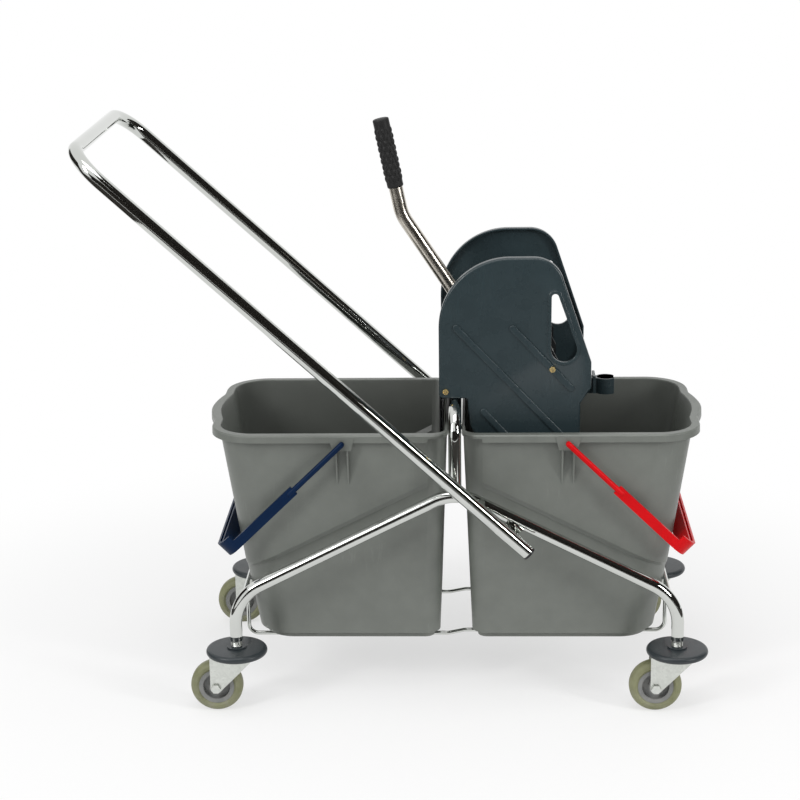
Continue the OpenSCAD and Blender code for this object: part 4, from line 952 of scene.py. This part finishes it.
def plateMesh(name):
    k = press
    outer, hole = plateOutline(), holeOutline()
    q = np.linspace(0, math.pi / 2, k["roundSteps"] + 1)
    f, rd, ft = k["face"], k["round"], k["face"] + k["flangeOut"]
    lip, lr, end = k["lip"], k["lipRound"], k["lipEnd"]
    edge = [(lip, -k["back"]), (lip, -end - lr), (lip - lr, -end), (lr, -end), (0, -end - lr)]
    edge += [(rd * (1 - math.cos(t)), -f + rd * (1 - math.sin(t))) for t in q]
    w, fr, lean = k["flangeWide"], k["flangeRound"], k["flangeRound"] * k["flangeLean"]
    rim = [(w + fr, -f)]
    rim += [(w - fr * (1 - math.cos(t)) + lean, -ft + fr * (1 - math.sin(t))) for t in q[::2]]
    rim += [(fr * (1 - math.sin(t)), -ft + fr * (1 - math.cos(t))) for t in q[::2]] + [(0, -k["back"])]
    outerRings = np.array([standing(moved(outer, d), y) for d, y in edge])
    holeRings = np.array([standing(moved(hole, -g), y) for g, y in rim])
    n, m = len(outer), len(hole)
    shift = len(edge) * n
    pts = np.vstack([outerRings.reshape(-1, 3), holeRings.reshape(-1, 3)])
    faces = gridFaces(len(edge), n).tolist() + (gridFaces(len(rim), m) + shift).tolist()
    for ring, holeRing in ((len(edge) - 1, 0), (0, len(rim) - 1)):
        tri = faceBetween(outerRings[ring][:, ::2], holeRings[holeRing][:, ::2])
        faces += np.where(tri < n, tri + ring * n, tri - n + shift + holeRing * m).tolist()
    return newMesh(name, pts, faces)


def ribMesh(name, p, q):  # a bar with round ends and a rounded top edge
    k = press
    p, q = np.array(p) + (0, k["hookZ"]), np.array(q) + (0, k["hookZ"])
    turn, half, n = math.degrees(math.atan2(*(q - p)[::-1])), k["ribWide"] / 2, k["ribSteps"]
    loop = np.vstack([arcPoints(q, half, turn - 90, turn + 90, n),
                      arcPoints(p, half, turn + 90, turn + 270, n)])
    t = np.linspace(0, math.pi / 2, k["ribRoundSteps"] + 1)
    top, r = k["face"] + k["ribOut"], k["ribRound"]
    rows = [(0, -k["face"] + k["ribSunk"])]
    rows += [(r * (1 - math.cos(a)), -top + r * (1 - math.sin(a))) for a in t]
    return gridMesh(name, np.array([standing(moved(loop, d), y) for d, y in rows]), caps=True)


def bossMesh(name, x, z, r):  # a short round post behind the plate
    k = press
    loop = arcPoints((x, z + k["hookZ"]), r, 0, 360, k["bossSteps"])[:-1]
    ends = (-k["back"] - k["bossSunk"], -k["back"] + k["bossDepth"])
    return gridMesh(name, np.array([standing(loop, y) for y in ends]), caps=True)


def makePlates():
    k = press
    for label, s in (("front", 1), ("rear", -1)):
        parts = [plateMesh("plate")] + [ribMesh("rib", a, b) for a, b in k["ribs"]]
        parts += [bossMesh("boss", x, z, r) for (x, z), r in k["bosses"]]
        mesh = joined("pressPlate_" + label, parts)
        mesh.transform(Matrix.Translation(Vector(arch)) @ Matrix.Diagonal((1, s, 1, 1)))
        addPiece("pressPlate_" + label, outwards(mesh), "press", "press",
                 ["press_side_" + label], smooth=k["smooth"])


makePlates()
print("press plates ready")


# CAD nodes kept in shape, as merged copies with rounded edges: bevel width by node

softEdges = {
    "press_front_wall": 0.0008, "press_hook_apron": 0.0006, "press_fixed_jaw": 0.0008, "moving_jaw": 0.0008,
    "mop_clip": 0.0007, "bail_left": 0.0008, "bail_right": 0.0008, "handle_brackets": 0.0006,
    "handle_end_caps": 0.0006, "castor_stems": 0.0002, "press_screws": 0.0002, "handle_bolts": 0.0002,
}
castorEdges = {
    "castor_fork_": 0.0007, "castor_axle_": 0.0004, "wheel_core_": 0.0005, "tyre_": 0.0, "bumper_": 0.0,
}
softSmooth = 32.0


def makeSoftCopies():
    for corner in ("fl", "fr", "rl", "rr"):
        softEdges.update({node + corner: width for node, width in castorEdges.items()})
    for node, width in softEdges.items():
        slot = slotOf[node]
        addPiece(node + "_shown", mergedCopy(node), slotFinish[slot], bodyOf[node], [node],
                 smooth=softSmooth, bevel=width)


makeSoftCopies()
print("rounded copies ready:", len(softEdges))


# lever: a smooth bent tube, with its lower end on the shaft hidden in the press

lever = {
    "shaft": (0.020, 0.5445), "angle": 123.2, "length": 0.173, "tail": 0.038, "bend": 0.06, "radius": 0.010,
    "gripAngle": 101.7, "gripStart": 0.040, "gripLength": 0.100, "gripRadius": 0.013, "cap": 0.004,
}


def leverPoints():  # the lower end, the bend and the direction of the grip
    k = lever
    a, g = math.radians(k["angle"]), math.radians(k["gripAngle"])
    d, e = np.array([math.cos(a), 0, math.sin(a)]), np.array([math.cos(g), 0, math.sin(g)])
    shaft = np.array([k["shaft"][0], 0, k["shaft"][1]])
    return shaft - k["tail"] * d, shaft + k["length"] * d, e


def makeLever():
    k = lever
    tip, corner, e = leverPoints()
    path = [tip, corner, corner + (k["gripStart"] + k["gripLength"] - k["cap"]) * e]
    mesh = tubeMesh("leverTube", path, k["bend"], k["radius"], side=(0, 1, 0))
    addPiece("leverTube", mesh, "nickel", "lever", ["lever_tube"])


# grip: a sleeve r(u) along the axis with staggered knobs,
# r = r0 + h * (max(0, sin row) * max(0, cos column))^p

grip = {
    "columns": 10, "rows": 9, "knob": 0.0014, "fullness": 0.7, "smoothStart": 0.010, "smoothEnd": 0.014,
    "edge": 0.0025, "around": 144, "along": 150, "smooth": 60,
}


def makeGrip():
    k, g = lever, grip
    corner, e = leverPoints()[1:]
    base = corner + k["gripStart"] * e
    s = np.linspace(0, 1, g["along"])[:, None] * k["gripLength"]
    b = np.linspace(0, 2 * math.pi, g["around"], endpoint=False)[None, :]
    row = (s - g["smoothStart"]) / (k["gripLength"] - g["smoothStart"] - g["smoothEnd"]) * g["rows"]
    inside = (row > 0) & (row < g["rows"])
    stagger = (np.floor(row) % 2) * math.pi
    knobs = np.maximum(0, np.sin(math.pi * (row % 1))) * np.maximum(0, np.cos(b * g["columns"] + stagger))
    r = k["gripRadius"] - g["knob"] + np.where(inside, g["knob"] * knobs ** g["fullness"], 0)
    ease = np.clip(np.minimum(s, k["gripLength"] - s) / g["edge"], 0, 1)
    r = r - g["edge"] * (1 - np.sqrt(1 - (1 - ease) ** 2))
    side = np.array([0.0, 1.0, 0.0])
    up = np.cross(e, side)
    ring = np.cos(b)[..., None] * side + np.sin(b)[..., None] * up
    mesh = gridMesh("knobblyGrip", base + s[..., None] * e + r[..., None] * ring + arch, caps=True)
    addPiece("knobblyGrip", mesh, "grip", "lever", ["lever_grip"], smooth=g["smooth"])


makeLever()
makeGrip()
print("lever and grip ready")

print("pieces done")
